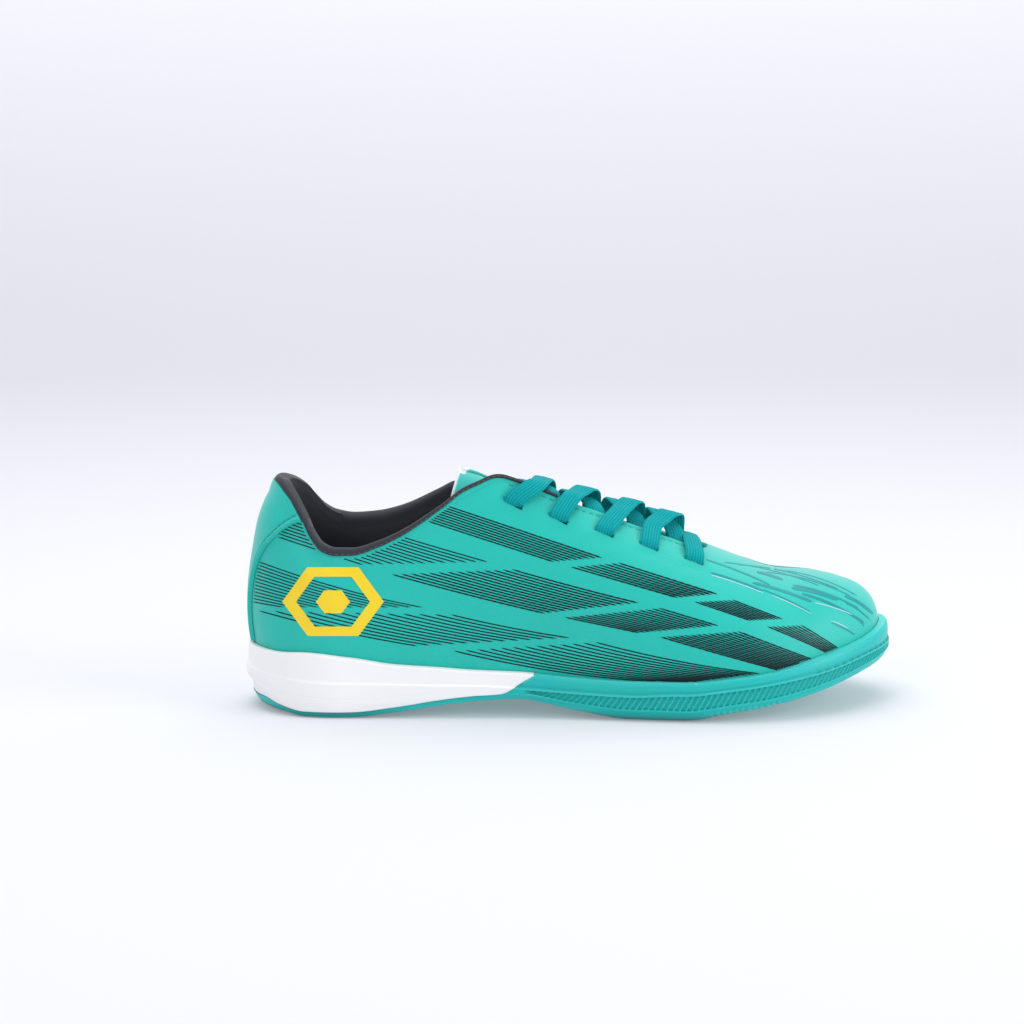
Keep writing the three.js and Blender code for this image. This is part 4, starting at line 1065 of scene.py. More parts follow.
stay_outer, stay_inner, stay_quads = [], [], []
across_rows = np.concatenate([np.linspace(0, 0.8, 24), np.linspace(0.8, 1, 22)[1:]])
up_rows = np.linspace(0, 1, 60)
for k, side in enumerate((-1, 1)):
    across2, up2 = np.meshgrid(across_rows, up_rows, indexing="ij")
    su, st = stay_point(across2, up2, side)
    reach = (1 - across2) * STAY.half(up2) * STAY_SPREAD
    bead = 0.75 * np.exp(-((reach - 0.9) / 0.7)**2)
    groove = -0.55 * np.exp(-((reach - 2.4) / 0.4)**2)
    edge_round = np.sqrt(np.clip(reach / 0.6, 0, 1))
    lift = STAY_STAND + (STAY_THICKNESS + bead + groove) * edge_round
    stay_outer.append(skin(su, side, st, lift).reshape(-1, 3))
    stay_inner.append(skin(su, side, st, STAY_STAND - 0.15).reshape(-1, 3))
    quads = grid_faces(*across2.shape) + k * across2.size
    stay_quads.append(quads if side < 0 else quads[:, ::-1])
stay_points, stay_faces = shell(np.concatenate(stay_outer), np.concatenate(stay_inner),
                                triangles_of(np.concatenate(stay_quads)))
place("heel_stay_panel", stay_points, stay_faces, skin_material, "stay_skin", ["heel_stay"], 60.0)

# Tongue
# A flap of brushed cloth on thin foam, cut raw at its end, where the pale foam shows. Its sides
# lie close under the quarters, and its middle hangs below the laces.
TONGUE_THICKNESS = 2.4
TONGUE_TOP = 0.355
TONGUE_SEAM = 0.69
TONGUE_END = 0.745
TONGUE_CORNER = 0.04
TONGUE_INNER_CORNER = 0.012
TONGUE_INNER = 0.8
TONGUE = table("drop half side", [
    (0.32, 0.205, 0.25, 3.6), (0.345, 0.208, 0.25, 3.2), (0.38, 0.19, 0.26, 2.7),
    (0.43, 0.15, 0.26, 2.5), (0.5, 0.1, 0.24, 2.4), (0.55, 0.075, 0.23, 2.3),
    (0.62, 0.055, 0.21, 2.3), (0.75, 0.05, 0.17, 2.3),
])


def tongue_face(share, across, sink):
    """A point on the tongue: so far to the side of the ridge, hung below the upper's surface."""
    u = step_at(share)
    side = np.where(across < 0, -1, 1)
    middle = LAST.centre(share) * BALL_WIDTH
    reach = np.abs(across) * TONGUE.half(share) * BALL_WIDTH * np.where(side < 0, 1, TONGUE_INNER)
    ts = np.linspace(0.3, 1, 141)
    y = section_point(u[..., None], side[..., None], ts)[..., 1]
    inside = np.abs(y - middle[..., None]) - reach[..., None]
    passed = np.argmax(inside < 0, axis=-1)
    before = np.maximum(0, passed - 1)
    gap = np.take_along_axis(inside, before[..., None], -1)[..., 0]
    after = np.take_along_axis(inside, passed[..., None], -1)[..., 0]
    f = np.clip(gap / np.maximum(1e-6, gap - after), 0, 1)
    t = np.where(reach < 0.01, 1.0, ts[before] + f * (ts[1] - ts[0]))
    hang = TONGUE.drop(share) * INSTEP_HEIGHT
    close = TONGUE.side(share) * UPPER_WALL
    free = hang + (close - hang) * across**2
    sewn = np.clip((share - TONGUE_SEAM) / (TONGUE_END - TONGUE_SEAM), 0, 1)
    sewn = sewn**2 * (3 - 2 * sewn)
    depth = free + (UPPER_WALL + 2 * CLEARANCE - free) * sewn
    return smooth_skin(u, side, t, -depth - sink)


run, width = np.meshgrid(np.concatenate([[0, 0.004, 0.012], np.linspace(0.025, 1, 110)]),
                         np.linspace(-1, 1, 81), indexing="ij")


def tongue_end(across):
    """Share at which the tongue is cut off: drawn back at its corners, more at the outer one."""
    return TONGUE_TOP - np.where(across < 0, TONGUE_CORNER, TONGUE_INNER_CORNER) * across**2


tongue_share = tongue_end(width)
tongue_share = tongue_share + (TONGUE_END - tongue_share) * run
near_side = np.clip((1 - np.abs(width)) * 12, 0, 1)
soft = np.sqrt(1 - (1 - near_side)**2)
half_tongue = TONGUE_THICKNESS / 2
tongue_outer = tongue_face(tongue_share, width, half_tongue * (1 - soft)).reshape(-1, 3)
tongue_inner = tongue_face(tongue_share, width, half_tongue * (1 + soft) + 0.02).reshape(-1, 3)
tongue_points, tongue_faces = shell(tongue_outer, tongue_inner, triangles_of(grid_faces(*width.shape)))

suede, suede_shader, suede_where, suede_tone = clouded(
    "brushed_cloth", "#10aca4", "#22bdb5", 0.85, 160.0, 3.0)
nap = add_node(suede, "ShaderNodeTexNoise", {"Vector": suede_where, "Scale": 1 / (0.5 * MM), "Detail": 4.0})
suede_bump = add_node(suede, "ShaderNodeBump", {
    "Height": nap.outputs["Fac"], "Distance": 0.15 * MM, "Strength": 0.6,
})
link(suede, suede_bump.outputs["Normal"], suede_shader.inputs["Normal"])
suede_shader.inputs["Sheen Weight"].default_value = 0.5
raw = add_node(suede, "ShaderNodeAttribute", attribute_name="raw_edge")
suede_mix = add_node(suede, "ShaderNodeMix", {
    "Factor": raw.outputs["Fac"], 6: suede_tone, 7: linear("#dfe6ea"),
}, data_type="RGBA")
link(suede, suede_mix.outputs[2], suede_shader.inputs["Base Color"])
tongue = place("tongue_flap", tongue_points, tongue_faces, suede, "tongue_cloth", ["tongue"], 60.0)
end_across = np.linspace(-1, 1, 81)
end_line = tongue_face(tongue_end(end_across), end_across, half_tongue)
nearest = np.linalg.norm(tongue_points[:, None, :] - end_line[None, :, :], axis=-1).min(1)
raw_edge = tongue.data.attributes.new("raw_edge", "FLOAT", "POINT")
raw_edge.data.foreach_set("value", (nearest < half_tongue + 0.3).astype(np.float32))

# Lace
# One flat woven lace 8 mm wide, ribbed along its length. It comes up out of each slot, arches
# over the edge of the throat, crosses the other strand, and goes down beside the far edge to
# the next slot. Both ends stop inside, under the top slots.
LACE_RISE = 8.0
# how far ahead of its slot each strand passes the edge of the throat
LEAN = {-1: [0.034, 0.018, 0.02, 0.006], 1: [0.012, 0.012, 0.012, 0.008]}
# way across, way along and share of the rise: both strands stand highest on the inner side
ARCH = {
    -1: [(0.25, 0.3, 0.5), (0.5, 0.66, 0.98), (0.75, 0.93, 1.0)],
    1: [(0.25, 0.2, 0.95), (0.5, 0.5, 0.78), (0.78, 0.83, 0.5)],
}
REST = CLEARANCE + LACE_THICKNESS / 2 + 0.25


def strand_points(k, side):
    """The visible stretch from slot k, over the edge, across and down beside the far edge."""
    here = eyelets[(k, side)]
    rise = LACE_RISE if side < 0 else LACE_RISE - LACE_THICKNESS + CLEARANCE
    start = here.at + here.out * REST + here.climb * 0.9
    edge_u = float(step_at(np.float64(EYELETS[k][0] + LEAN[side][k])))
    edge_t1 = float(free_edge(edge_u, side))
    over_edge = smooth_skin(edge_u, side, edge_t1, REST + 1.5)
    far_u = float(step_at(np.float64(EYELETS[k + 1][0] - 0.6 * EYELETS[k + 1][2])))
    far_edge = smooth_skin(far_u, -side, float(free_edge(far_u, -side)), -0.5)
    end = far_edge + np.array([0, side * 4.2, 0])

    def arch(across, along, up):
        p = over_edge + (end - over_edge) * across
        p[0] = over_edge[0] + (end[0] - over_edge[0]) * along
        p[2] += up * rise
        return p

    return [start, over_edge, *(arch(*row) for row in ARCH[side]), end]


def slot_passage(k, side, inside_first):
    """Through a slot: from under the quarter, through the wall, and out."""
    slot = eyelets[(k, side)]
    depth = UPPER_WALL + LACE_THICKNESS
    inside = slot.at - slot.out * (depth + 0.6) + slot.climb * 4.5
    turn = slot.at - slot.out * depth * 0.95 + slot.climb * 0.9
    through = slot.at - slot.out * 0.9 - slot.climb * 0.25
    points = [inside, turn, through]
    return points if inside_first else points[::-1]


def lace_run(first_side):
    """From the top slot on one side down the throat, changing sides at each crossing."""
    side = first_side
    points = []
    for k in range(len(EYELETS) - 1):
        points += slot_passage(k, side, True)
        points += strand_points(k, side)
        side = -side
    points += slot_passage(len(EYELETS) - 1, side, True)
    return points, side


last = len(EYELETS) - 1
near_run, near_end = lace_run(-1)
far_run, far_end = lace_run(1)


def bar_foot(side):
    slot = eyelets[(last, side)]
    return slot.at + slot.out * (REST + 0.5) + slot.climb * 1.6


def bar_edge(side):
    u = eyelets[(last, -1)].u
    return smooth_skin(u, side, float(free_edge(u, side)), REST + 0.3)


bar_top = (bar_edge(-1) + bar_edge(1)) / 2 + np.array([0, 0, 0.8])
bar = [bar_foot(near_end), bar_edge(near_end), bar_top, bar_edge(far_end), bar_foot(far_end)]
lace_points = np.array(near_run + bar + far_run[::-1])


def smooth_path(points, spacing):
    """A curve through the points, paced by the root of their distances, resampled evenly."""
    ends = np.concatenate([[2 * points[0] - points[1]], points, [2 * points[-1] - points[-2]]])
    pieces = []
    for p0, p1, p2, p3 in zip(ends[:-3], ends[1:-2], ends[2:-1], ends[3:]):
        t0, t1 = 0.0, np.sqrt(np.linalg.norm(p1 - p0))
        t2 = t1 + np.sqrt(np.linalg.norm(p2 - p1))
        t3 = t2 + np.sqrt(np.linalg.norm(p3 - p2))
        t = np.linspace(t1, t2, 24, endpoint=False)[:, None]
        a1 = (t1 - t) / (t1 - t0) * p0 + (t - t0) / (t1 - t0) * p1
        a2 = (t2 - t) / (t2 - t1) * p1 + (t - t1) / (t2 - t1) * p2
        a3 = (t3 - t) / (t3 - t2) * p2 + (t - t2) / (t3 - t2) * p3
        b1 = (t2 - t) / (t2 - t0) * a1 + (t - t0) / (t2 - t0) * a2
        b2 = (t3 - t) / (t3 - t1) * a2 + (t - t1) / (t3 - t1) * a3
        pieces.append((t2 - t) / (t2 - t1) * b1 + (t - t1) / (t2 - t1) * b2)
    path = np.concatenate([*pieces, points[-1:]])
    return resampled(path, spacing)


def resampled(path, spacing):
    """The same path with points a spacing apart, and the distance along it."""
    run_at = np.concatenate([[0], np.cumsum(np.linalg.norm(np.diff(path, axis=0), axis=1))])
    count = max(2, int(round(run_at[-1] / spacing)) + 1)
    at = np.linspace(0, run_at[-1], count)
    return np.stack([np.interp(at, run_at, path[:, k]) for k in range(path.shape[1])], 1), at


lace_path, lace_at = smooth_path(lace_points, 0.7)
tangent = unit(np.gradient(lace_path, axis=0))
throat_line = np.stack([section_point(eyelets[(k, s)].u, s, eyelets[(k, s)].t)
                        for s in (-1, 1) for k in range(len(EYELETS))]).reshape(2, -1, 3).mean(0)
slope_at = np.gradient(throat_line[:, 2], throat_line[:, 0])
slope = np.interp(lace_path[:, 0], throat_line[:, 0], slope_at)
broad = unit(np.stack([np.ones(len(slope)), np.zeros(len(slope)), slope], 1))
broad = unit(broad - tangent * np.einsum("ij,ij->i", broad, tangent)[:, None])
flat = np.cross(tangent, broad)
ROUND_STEPS = 44
turn = np.linspace(0, 2 * np.pi, ROUND_STEPS, endpoint=False)
lace_wide = LACE_WIDTH / 2 * np.sign(np.cos(turn)) * np.abs(np.cos(turn))**0.72
lace_thick = LACE_THICKNESS / 2 * np.sign(np.sin(turn)) * np.abs(np.sin(turn))**0.6
LACE_RIB = 1.15
rib = 0.09 * np.cos(2 * np.pi * lace_wide / LACE_RIB) * np.abs(np.sin(turn))
lace_thick = lace_thick + rib * np.sign(lace_thick)
lace_grid = (lace_path[:, None, :] + broad[:, None, :] * lace_wide[None, :, None]
             + flat[:, None, :] * lace_thick[None, :, None])
lace_faces = triangles_of(grid_faces(len(lace_path), ROUND_STEPS, around=True))
lace_all, lace_closed = close_spine(lace_grid.reshape(-1, 3), lace_faces)

# Woven polyester: rows of thread across the ribs, half a millimetre apart
woven, woven_shader = new_material("woven_polyester", "#0aa5a6", 0.8)
woven_uv = add_node(woven, "ShaderNodeAttribute", attribute_name="weave").outputs["Vector"]
woven_rows = add_node(woven, "ShaderNodeTexWave", {
    "Vector": woven_uv, "Scale": 0.32, "Distortion": 0.6,
}, bands_direction="X")
woven_ribs = add_node(woven, "ShaderNodeTexWave", {
    "Vector": woven_uv, "Scale": 0.27, "Distortion": 0.3,
}, bands_direction="Y")
woven_height = add_node(woven, "ShaderNodeMath", {
    0: woven_rows.outputs["Fac"], 1: woven_ribs.outputs["Fac"],
}, operation="ADD")
woven_bump = add_node(woven, "ShaderNodeBump", {
    "Height": woven_height.outputs[0], "Distance": 0.12 * MM, "Strength": 0.8,
})
link(woven, woven_bump.outputs["Normal"], woven_shader.inputs["Normal"])
woven_tone = add_node(woven, "ShaderNodeMix", {
    "Factor": woven_ribs.outputs["Fac"], 6: linear("#008a90"), 7: linear("#02a6aa"),
}, data_type="RGBA")
link(woven, woven_tone.outputs[2], woven_shader.inputs["Base Color"])
woven_shader.inputs["Specular IOR Level"].default_value = 0.15
lace_nodes = [f"lace_cross_{k + 1}" for k in range(last)] + ["lace_bar"]
lace = place("lace", lace_all, lace_closed, woven, "lace_cloth", lace_nodes, 80.0)
lace_kept = weld(lace_grid.reshape(-1, 3), lace_faces)[2]
weave_values = np.zeros((len(lace_all), 3), np.float32)
weave_values[:len(lace_kept), 0] = np.repeat(lace_at, ROUND_STEPS)[lace_kept]
weave_values[:len(lace_kept), 1] = np.tile(lace_wide, len(lace_path))[lace_kept]
weave = lace.data.attributes.new("weave", "FLOAT_VECTOR", "POINT")
weave.data.foreach_set("vector", weave_values.reshape(-1))

# Print
# Bands of fine black lines, pressed on as a thin film. They run down towards the toe, start and
# end in steps, and grow heavier towards the toe. The inner side mirrors the outer one.
FILM = 0.07
FILM_SUNK = 0.2
EDGE_CLEAR = 2.2
LINE_WIDER = 1.22
look_u, look_t = np.meshgrid(np.linspace(0, 1, 161), np.linspace(0, 1, 81), indexing="ij")
look_seen = seen(smooth_skin(look_u, -1, look_t).reshape(-1, 3))


def locate(targets):
    """u and t of the outer side's surface where the camera sees the targets, and the miss."""
    targets = np.asarray(targets, float)
    start = np.concatenate([
        np.argmin(((look_seen[None] - chunk[:, None])**2).sum(-1), axis=1)
        for chunk in np.array_split(targets, max(1, len(targets) // 500))
    ])
    u, t = look_u.reshape(-1)[start], look_t.reshape(-1)[start]
    step = 1e-4
    for _ in range(6):
        here = seen(smooth_skin(u, -1, t))
        by_u = (seen(smooth_skin(u + step, -1, t)) - here) / step
        by_t = (seen(smooth_skin(u, -1, t + step)) - here) / step
        miss = targets - here
        det = by_u[:, 0] * by_t[:, 1] - by_u[:, 1] * by_t[:, 0]
        det = np.where(np.abs(det) < 1e-3, 1e-3, det)
        u_step = (miss[:, 0] * by_t[:, 1] - miss[:, 1] * by_t[:, 0]) / det
        t_step = (by_u[:, 0] * miss[:, 1] - by_u[:, 1] * miss[:, 0]) / det
        u = np.clip(u + np.clip(u_step, -0.02, 0.02), 0, 0.9995)
        t = np.clip(t + np.clip(t_step, -0.05, 0.05), 0, 0.9995)
    return u, t, np.linalg.norm(targets - seen(smooth_skin(u, -1, t)), axis=1)


BANDS = [
    # top line from (x0, y0) to (x1, y1), bottom line from (x2, y2) to (x3, y3), number of
    # lines, their width at the start and at the end, and how far 50 mm of a line sags
    (-97, 5.5, -10.5, -21.2, -98.7, -10.6, -63.1, -22.5, 13, 0.42, 0.4, 0.2),
    (-109, -20.5, -38, -40.5, -110.4, -38.0, -96.8, -40.4, 13, 0.4, 0.36, 0.8),
    (-27.5, 2.5, 38.1, -19.5, -36, -3.8, 17.8, -21.2, 9, 0.45, 0.5, 0.0),
    (45, -21.6, 86.9, -34.9, 25, -23.3, 70.3, -36.4, 8, 0.45, 0.6, 0.0),
    (0, -24.4, 53.4, -38.6, -50.8, -26.4, 14, -43, 14, 0.45, 0.52, 0.3),
    (-25.8, -43.6, 24.2, -53.4, -107.2, -41.9, -40.3, -56.8, 13, 0.42, 0.42, 0.6),
    (35.6, -55.3, 105, -68.6, -24.6, -58.9, 73.7, -72.5, 13, 0.42, 0.47, 0.7),
    (62.3, -40.8, 87.3, -48.3, 22.5, -44.7, 54.2, -51.3, 15, 0.45, 0.52, 0.0),
    (93.4, -37.3, 114.6, -45.5, 77.5, -38.1, 101.3, -46.2, 9, 0.45, 0.45, 0.0),
    (95.8, -50.7, 128.8, -63.1, 63.1, -53, 114, -67.4, 14, 0.52, 0.5, 0.2),
    (122.5, -48, 140, -58.9, 108.3, -48.6, 135.2, -60.6, 8, 0.5, 0.4, -1.2),
]
BRICK = 3.0


def ribbons(lines):
    """Both borders of strips, each given by its centre points and its width at each of them.

    Returns u and t of the left and of the right borders, how far each pair misses its place, and
    the number of points in each strip."""
    left, right, counts = [], [], []
    for points, widths in lines:
        along = unit(np.gradient(points, axis=0))
        across_line = np.stack([-along[:, 1], along[:, 0]], 1)
        left.append(points + across_line * widths[:, None] / 2)
        right.append(points - across_line * widths[:, None] / 2)
        counts.append(len(points))
    borders = np.concatenate(left + right)
    u, t, miss = locate(borders)
    half = len(u) // 2
    return (u[:half], t[:half]), (u[half:], t[half:]), miss[:half] + miss[half:], counts


def film(name, lines, material, height=FILM):
    """Raised strips on both sides of the upper: a flat top and sunk sides, closed at both ends.

    They stop at the free edge, at the sole and at the stay."""
    (lu, lt), (ru, rt), miss, counts = ribbons(lines)
    points, faces = [], []
    for side in (-1, 1):
        tall = smooth_skin(lu, side, lt)[..., 2]
        low = sole_height("top", share_at(lu))
        up = np.clip((tall - low) / (HEEL_HEIGHT - low), 0, 1)
        fits = ((free_edge(lu, side) - lt) * section_length(lu, side) > EDGE_CLEAR) & (miss < 0.6)
        fits &= (tall > low + 0.2) & (lu > STAY.half(up) + 0.0005)
        corners = np.stack([
            skin(lu, side, lt, height), skin(ru, side, rt, height),
            skin(ru, side, rt, -FILM_SUNK), skin(lu, side, lt, -FILM_SUNK),
        ], 1)
        begin = 0
        for count in counts:
            good = fits[begin:begin + count]
            edges = np.flatnonzero(np.diff(np.concatenate([[0], good.astype(int), [0]])))
            for a, b in zip(edges[::2], edges[1::2]):
                if b - a < 3:
                    continue
                ring = corners[begin + a:begin + b]
                start = sum(len(p) for p in points)
                points.append(ring.reshape(-1, 3))
                body = triangles_of(grid_faces(b - a, 4, around=True))
                end = (b - a - 1) * 4
                caps = np.array([[0, 1, 2], [0, 2, 3], [end, end + 2, end + 1], [end, end + 3, end + 2]])
                strip = np.concatenate([body, caps[:, ::-1]])
                faces.append(outwards(ring.reshape(-1, 3), strip) + start)
            begin += count
    return place(name, np.concatenate(points), np.concatenate(faces), material, "upper_skin", angle=30.0)


def band_lines(band):
    """The lines of one band, evenly between its first and last, with a beaded thickness."""
    x0, y0, x1, y1, x2, y2, x3, y3, count, start_width, end_width, sag = band
    lines = []
    for k, f in enumerate(np.linspace(0, 1, count)):
        begin = np.array([x0 + (x2 - x0) * f, y0 + (y2 - y0) * f])
        end = np.array([x1 + (x3 - x1) * f, y1 + (y3 - y1) * f])
        steps = max(6, int(np.linalg.norm(end - begin) / 0.75))
        g = np.linspace(0, 1, steps)
        points = begin + (end - begin) * g[:, None]
        points[:, 1] -= sag * ((end[0] - begin[0]) / 50)**2 * 4 * g * (1 - g)
        widths = LINE_WIDER * (start_width + (end_width - start_width) * g)
        beads = np.clip((widths - 0.45) / 0.2, 0, 1) * 0.22
        phase = 2 * np.pi * points[:, 0] / BRICK + np.pi * (k % 2)
        widths = widths * (1 + beads * np.cos(phase))
        tip = np.clip(np.minimum(g, 1 - g) * steps / 2, 0.25, 1)
        lines.append((points, widths * tip))
    return lines


ink, ink_shader, _, _ = clouded("black_film", "#061a1e", "#0f2d31", 0.42, 220.0, 4.0)
ink_shader.inputs["Specular IOR Level"].default_value = 0.2
film("print_lines", [line for band in BANDS for line in band_lines(band)], ink)

# Motif
# A plain hexagon ring with a small hexagon in it, pressed on in yellow over the heel's lines. It
# stands for whatever a maker would print there.
MOTIF_AT = np.array([-75.8, -38.0])
MOTIF_STRETCH = 1.28
HEXAGONS = [(16.8, 12.2), (5.6, 0.0)]
MOTIF_HEIGHT = 0.18


def hexagon(radius, count=42):
    """Points evenly along the sides of a hexagon whose corners point forwards and backwards."""
    corner = np.radians(np.arange(7) * 60.0)
    corners = radius * np.stack([np.cos(corner) * MOTIF_STRETCH, np.sin(corner)], 1)
    f = np.linspace(0, 1, count, endpoint=False)[:, None]
    return np.concatenate([a + (b - a) * f for a, b in zip(corners[:-1], corners[1:])])


motif_points, motif_faces, motif_count = [], [], 0
for outer_radius, inner_radius in HEXAGONS:
    radii = np.linspace(outer_radius, inner_radius, 7)
    rings = np.stack([MOTIF_AT + hexagon(radius) for radius in radii])
    mu, mt, _ = locate(rings.reshape(-1, 2))
    for side in (-1, 1):
        lift = np.full(rings.shape[:2], MOTIF_HEIGHT)
        top_face = skin(mu, side, mt, lift.reshape(-1)).reshape(*rings.shape[:2], 3)
        low_face = skin(mu, side, mt, -FILM_SUNK).reshape(*rings.shape[:2], 3)
        closed = np.concatenate([top_face, low_face[::-1], top_face[:1]])
        closed_faces = triangles_of(grid_faces(len(closed), closed.shape[1], around=True))
        points, triangles = close_spine(closed.reshape(-1, 3), closed_faces)
        motif_points.append(points)
        motif_faces.append(triangles + motif_count)
        motif_count += len(points)
yellow = clouded("yellow_film", "#f4cf0c", "#f8da24", 0.4, 60.0, 3.0)[0]
place("heel_motif", np.concatenate(motif_points), np.concatenate(motif_faces), yellow, "upper_skin")

# Toe box
# Strips pressed into the toe box in a deeper shade, running forwards and curving down over the toe, some of
# them edged with a pale line. The pale lines are in part a pale print and in part a painted highlight along
# the raised strips.
STRIP_WIDER = 1.15
STRIP_HEIGHT = 0.12
PALE_HEIGHT = 0.14
DASHES = [
    # x0, y0, x1, y1, drop of the middle, width, and whether it is pale
    (84.3, -25.8, 106.4, -33.5, -0.4, 0.7, False), (106.4, -33.0, 126.3, -42.4, -0.5, 0.5, False),
    (84.3, -26.8, 106.4, -34.4, -0.4, 0.3, True), (110, -35.4, 126.8, -43.2, -0.4, 0.3, True),
    (82.2, -20.3, 109.3, -30.9, -0.6, 0.5, False), (102.1, -30.1, 127.1, -38.1, -0.6, 1.0, False),
    (103.8, -25.4, 114.8, -28.8, -0.2, 0.9, False), (118.6, -32.2, 138.1, -37.3, -0.7, 1.2, False),
    (122.9, -34.7, 149.2, -47.0, -1.4, 0.9, False), (119.1, -31.0, 146.6, -40.7, -1.4, 0.5, False),
    (128.4, -38.6, 144.1, -43.6, -0.5, 0.35, True), (146.2, -45.0, 149.2, -48.5, -0.2, 0.4, False),
    (135.6, -47.0, 145.3, -52.1, -0.3, 0.6, False), (135.0, -46.2, 142.4, -49.4, -0.3, 0.3, True),
    (141.1, -35.6, 153.0, -43.2, -0.9, 1.1, False), (141.5, -38.6, 151.5, -45.6, -0.8, 0.5, False),
    (90.0, -21.4, 130.0, -31.2, -1.5, 0.3, False), (96.0, -22.4, 138.0, -32.6, -2.0, 0.3, False),
    (108.0, -25.6, 143.0, -35.4, -1.8, 0.35, False), (112.0, -24.6, 146.0, -35.4, -2.2, 0.3, False),
]


def dash_line(row):
    """Points of one strip with rounded ends."""
    x0, y0, x1, y1, drop, wide, _ = row
    steps = max(8, int(np.hypot(x1 - x0, y1 - y0) / 0.8))
    g = np.linspace(0, 1, steps)
    points = np.stack([x0 + (x1 - x0) * g, y0 + (y1 - y0) * g - drop * 4 * g * (1 - g)], 1)
    return points, STRIP_WIDER * wide * np.sqrt(np.clip(np.minimum(g, 1 - g) * steps / 2, 0.2, 1))


deep_teal = clouded("pressed_strip", "#028288", "#069a9c", 0.4, 90.0)[0]
# The pale lines are a pale print colour that also serves as a painted highlight on the strips' raised edges
pale = clouded("pale_line", "#7fc6cc", "#b4dbe3", 0.45, 150.0)[0]
film("toe_strips", [dash_line(row) for row in DASHES if not row[-1]], deep_teal, STRIP_HEIGHT)
film("toe_pale_lines", [dash_line(row) for row in DASHES if row[-1]], pale, PALE_HEIGHT)

# Stitching
# Thread in the colour of what it sews, laid in short raised stitches: beside the throat, along
# the edge of the stay, on the black binding, and in the groove round the toe of the sole.
PROFILE = np.array([[-1, 0], [-0.82, 0.6], [-0.3, 1], [0.3, 1], [0.82, 0.6], [1, 0]])
THREAD_SIDES = 6


def stitches(name, rows, pitch, length, wide, material, slot):
    """One small closed capsule every pitch along each row of points with their normals."""
    centre, forward, upward = [], [], []
    for points, normals in rows:
        run_at = np.concatenate([[0], np.cumsum(np.linalg.norm(np.diff(points, axis=0), axis=1))])
        at = np.arange(pitch / 2, run_at[-1], pitch)

        def read(values, where):
            return np.stack([np.interp(where, run_at, values[:, k]) for k in range(3)], 1)

        centre.append(read(points, at))
        forward.append(unit(read(points, at + length / 3) - read(points, at - length / 3)))
        upward.append(unit(read(normals, at)))
    centre, forward, upward = (np.concatenate(v) for v in (centre, forward, upward))
    sideways = unit(np.cross(forward, upward))
    upward = np.cross(sideways, forward)
    around = np.linspace(0, 2 * np.pi, THREAD_SIDES, endpoint=False)
    body = PROFILE[1:-1]
    ring = (centre[:, None, None] + forward[:, None, None] * (body[:, 0] * length / 2)[None, :, None, None]
            + (sideways[:, None, None] * np.cos(around)[None, None, :, None]
               + upward[:, None, None] * 0.75 * np.sin(around)[None, None, :, None])
            * (body[:, 1] * wide / 2)[None, :, None, None])
    tips = centre[:, None] + forward[:, None] * np.array([-length / 2, length / 2])[None, :, None]
    points = np.concatenate([ring.reshape(len(centre), -1, 3), tips], 1)
    count = len(body) * THREAD_SIDES
    side_faces = triangles_of(grid_faces(len(body), THREAD_SIDES, around=True))
    k = np.arange(THREAD_SIDES)
    after = (k + 1) % THREAD_SIDES
    back_end = np.stack([after, k, np.full(THREAD_SIDES, count)], 1)
    last_ring = count - THREAD_SIDES
    front_end = np.stack([last_ring + k, last_ring + after, np.full(THREAD_SIDES, count + 1)], 1)
    one = np.concatenate([side_faces, back_end, front_end])
    one = outwards(points[0], one)
    faces = one[None] + (np.arange(len(centre)) * points.shape[1])[:, None, None]
    return place(name, points.reshape(-1, 3), faces.reshape(-1, 3), material, slot, angle=70.0)


def on_skin(u, side, t, out):
    """Points on the finished upper and the directions outwards from it."""
    return skin(u, side, t, out), skin_normal(u, side, t)


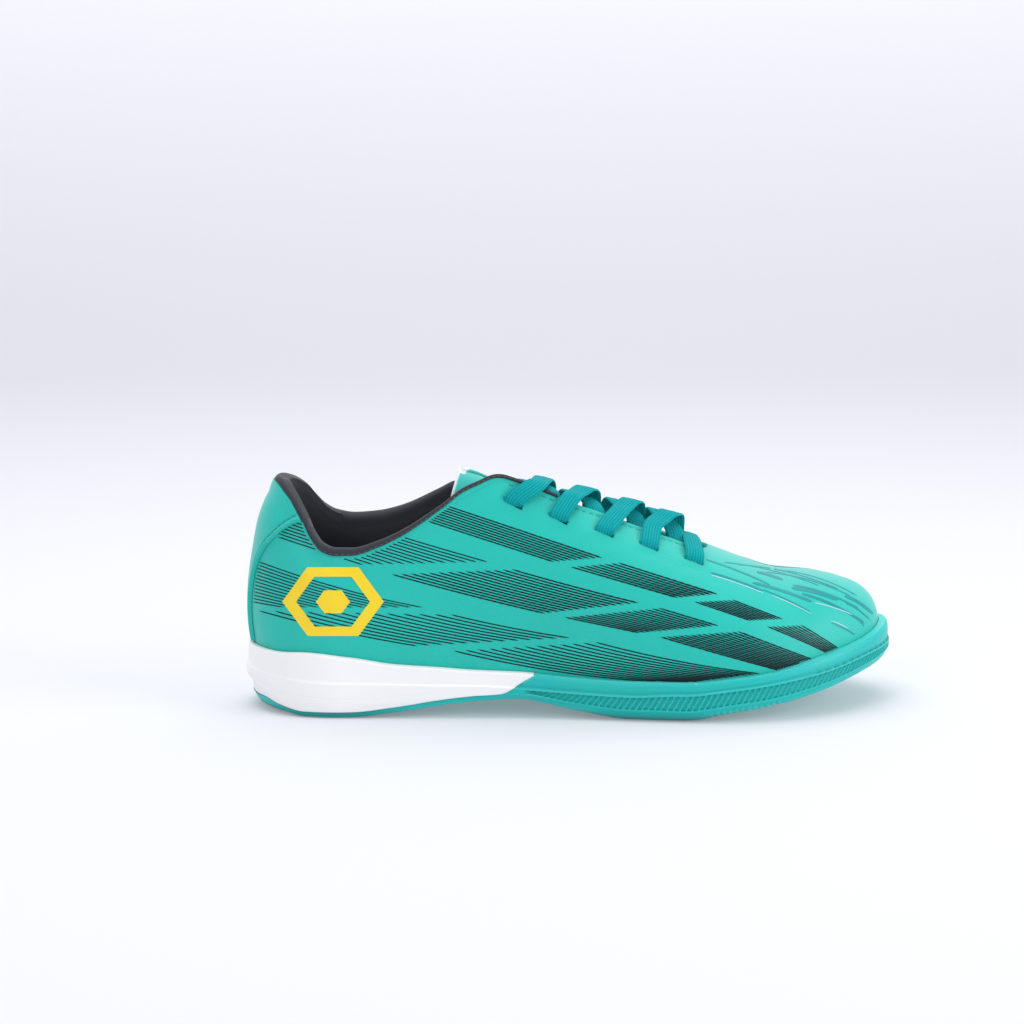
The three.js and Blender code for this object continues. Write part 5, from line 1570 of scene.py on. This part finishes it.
def thread(name, color, light):
    """Twisted thread: a satin colour with fine turns across it."""
    material, shader = new_material(name, color, 0.55)
    where = add_node(material, "ShaderNodeTexCoord").outputs["Object"]
    twist = add_node(material, "ShaderNodeTexWave", {
        "Vector": where, "Scale": 1 / (1.2 * MM), "Distortion": 2.0,
    })
    tone = add_node(material, "ShaderNodeMix", {
        "Factor": twist.outputs["Fac"], 6: linear(color), 7: linear(light),
    }, data_type="RGBA")
    link(material, tone.outputs[2], shader.inputs["Base Color"])
    return material


teal_thread = thread("teal_thread", "#04908d", "#12b0ab")
black_thread = thread("black_thread", "#2e3138", "#5b5f68")
throat_run = step_at(np.linspace(0.4, 0.688, 200))
throat_rows = [on_skin(throat_run, side, below(throat_run, side, 3.2), 0.1) for side in (-1, 1)]
stitches("throat_stitches", throat_rows, 3.0, 2.3, 0.6, teal_thread, "upper_skin")
stay_up = np.linspace(0.03, 0.97, 160)
stay_rows = []
for side in (-1, 1):
    inset_share = 1 - 2.6 / (STAY.half(stay_up) * STAY_SPREAD)
    su, st = stay_point(inset_share, stay_up, side)
    stay_rows.append(on_skin(su, side, st, STAY_STAND + STAY_THICKNESS - 0.35))
stitches("stay_stitches", stay_rows, 2.6, 1.9, 0.55, teal_thread, "stay_skin")
binding_run = step_at(np.linspace(0.1, 0.47, 300))
binding_slim = np.clip((share_at(binding_run) - 0.1) / 0.2, 0, 1)
binding_down = LIP * 0.6 * (1 - 0.4 * binding_slim)
binding_out = 1.3 * (1 - 0.25 * binding_slim) - 0.05
binding_rows = [on_skin(binding_run, side, below(binding_run, side, binding_down), binding_out)
                for side in (-1, 1)]
stitches("binding_stitches", binding_rows, 2.4, 1.7, 0.4, black_thread, "lining_cloth")
rand_u, rand_side = half_rings(step_at(np.linspace(0.86, 1, 120)))
rand_u, rand_side = rand_u[:120], rand_side[:120]
rand_share = share_at(rand_u)
rand_rows = []
for side in (-1, 1):
    height = sole_height("step", rand_share) + 0.45
    rand_points = outline(rand_u, side, wall_inset(rand_share, height) - 0.05, height)
    flat_out = plan_normal(rand_u, side)
    rand_rows.append((rand_points, np.concatenate([flat_out, 0.6 + 0 * flat_out[:, :1]], 1)))
rand_thread = thread("rand_thread", "#047e7c", "#08a09d")
stitches("rand_stitches", rand_rows, 4.6, 3.6, 0.75, rand_thread, "outsole_rubber")
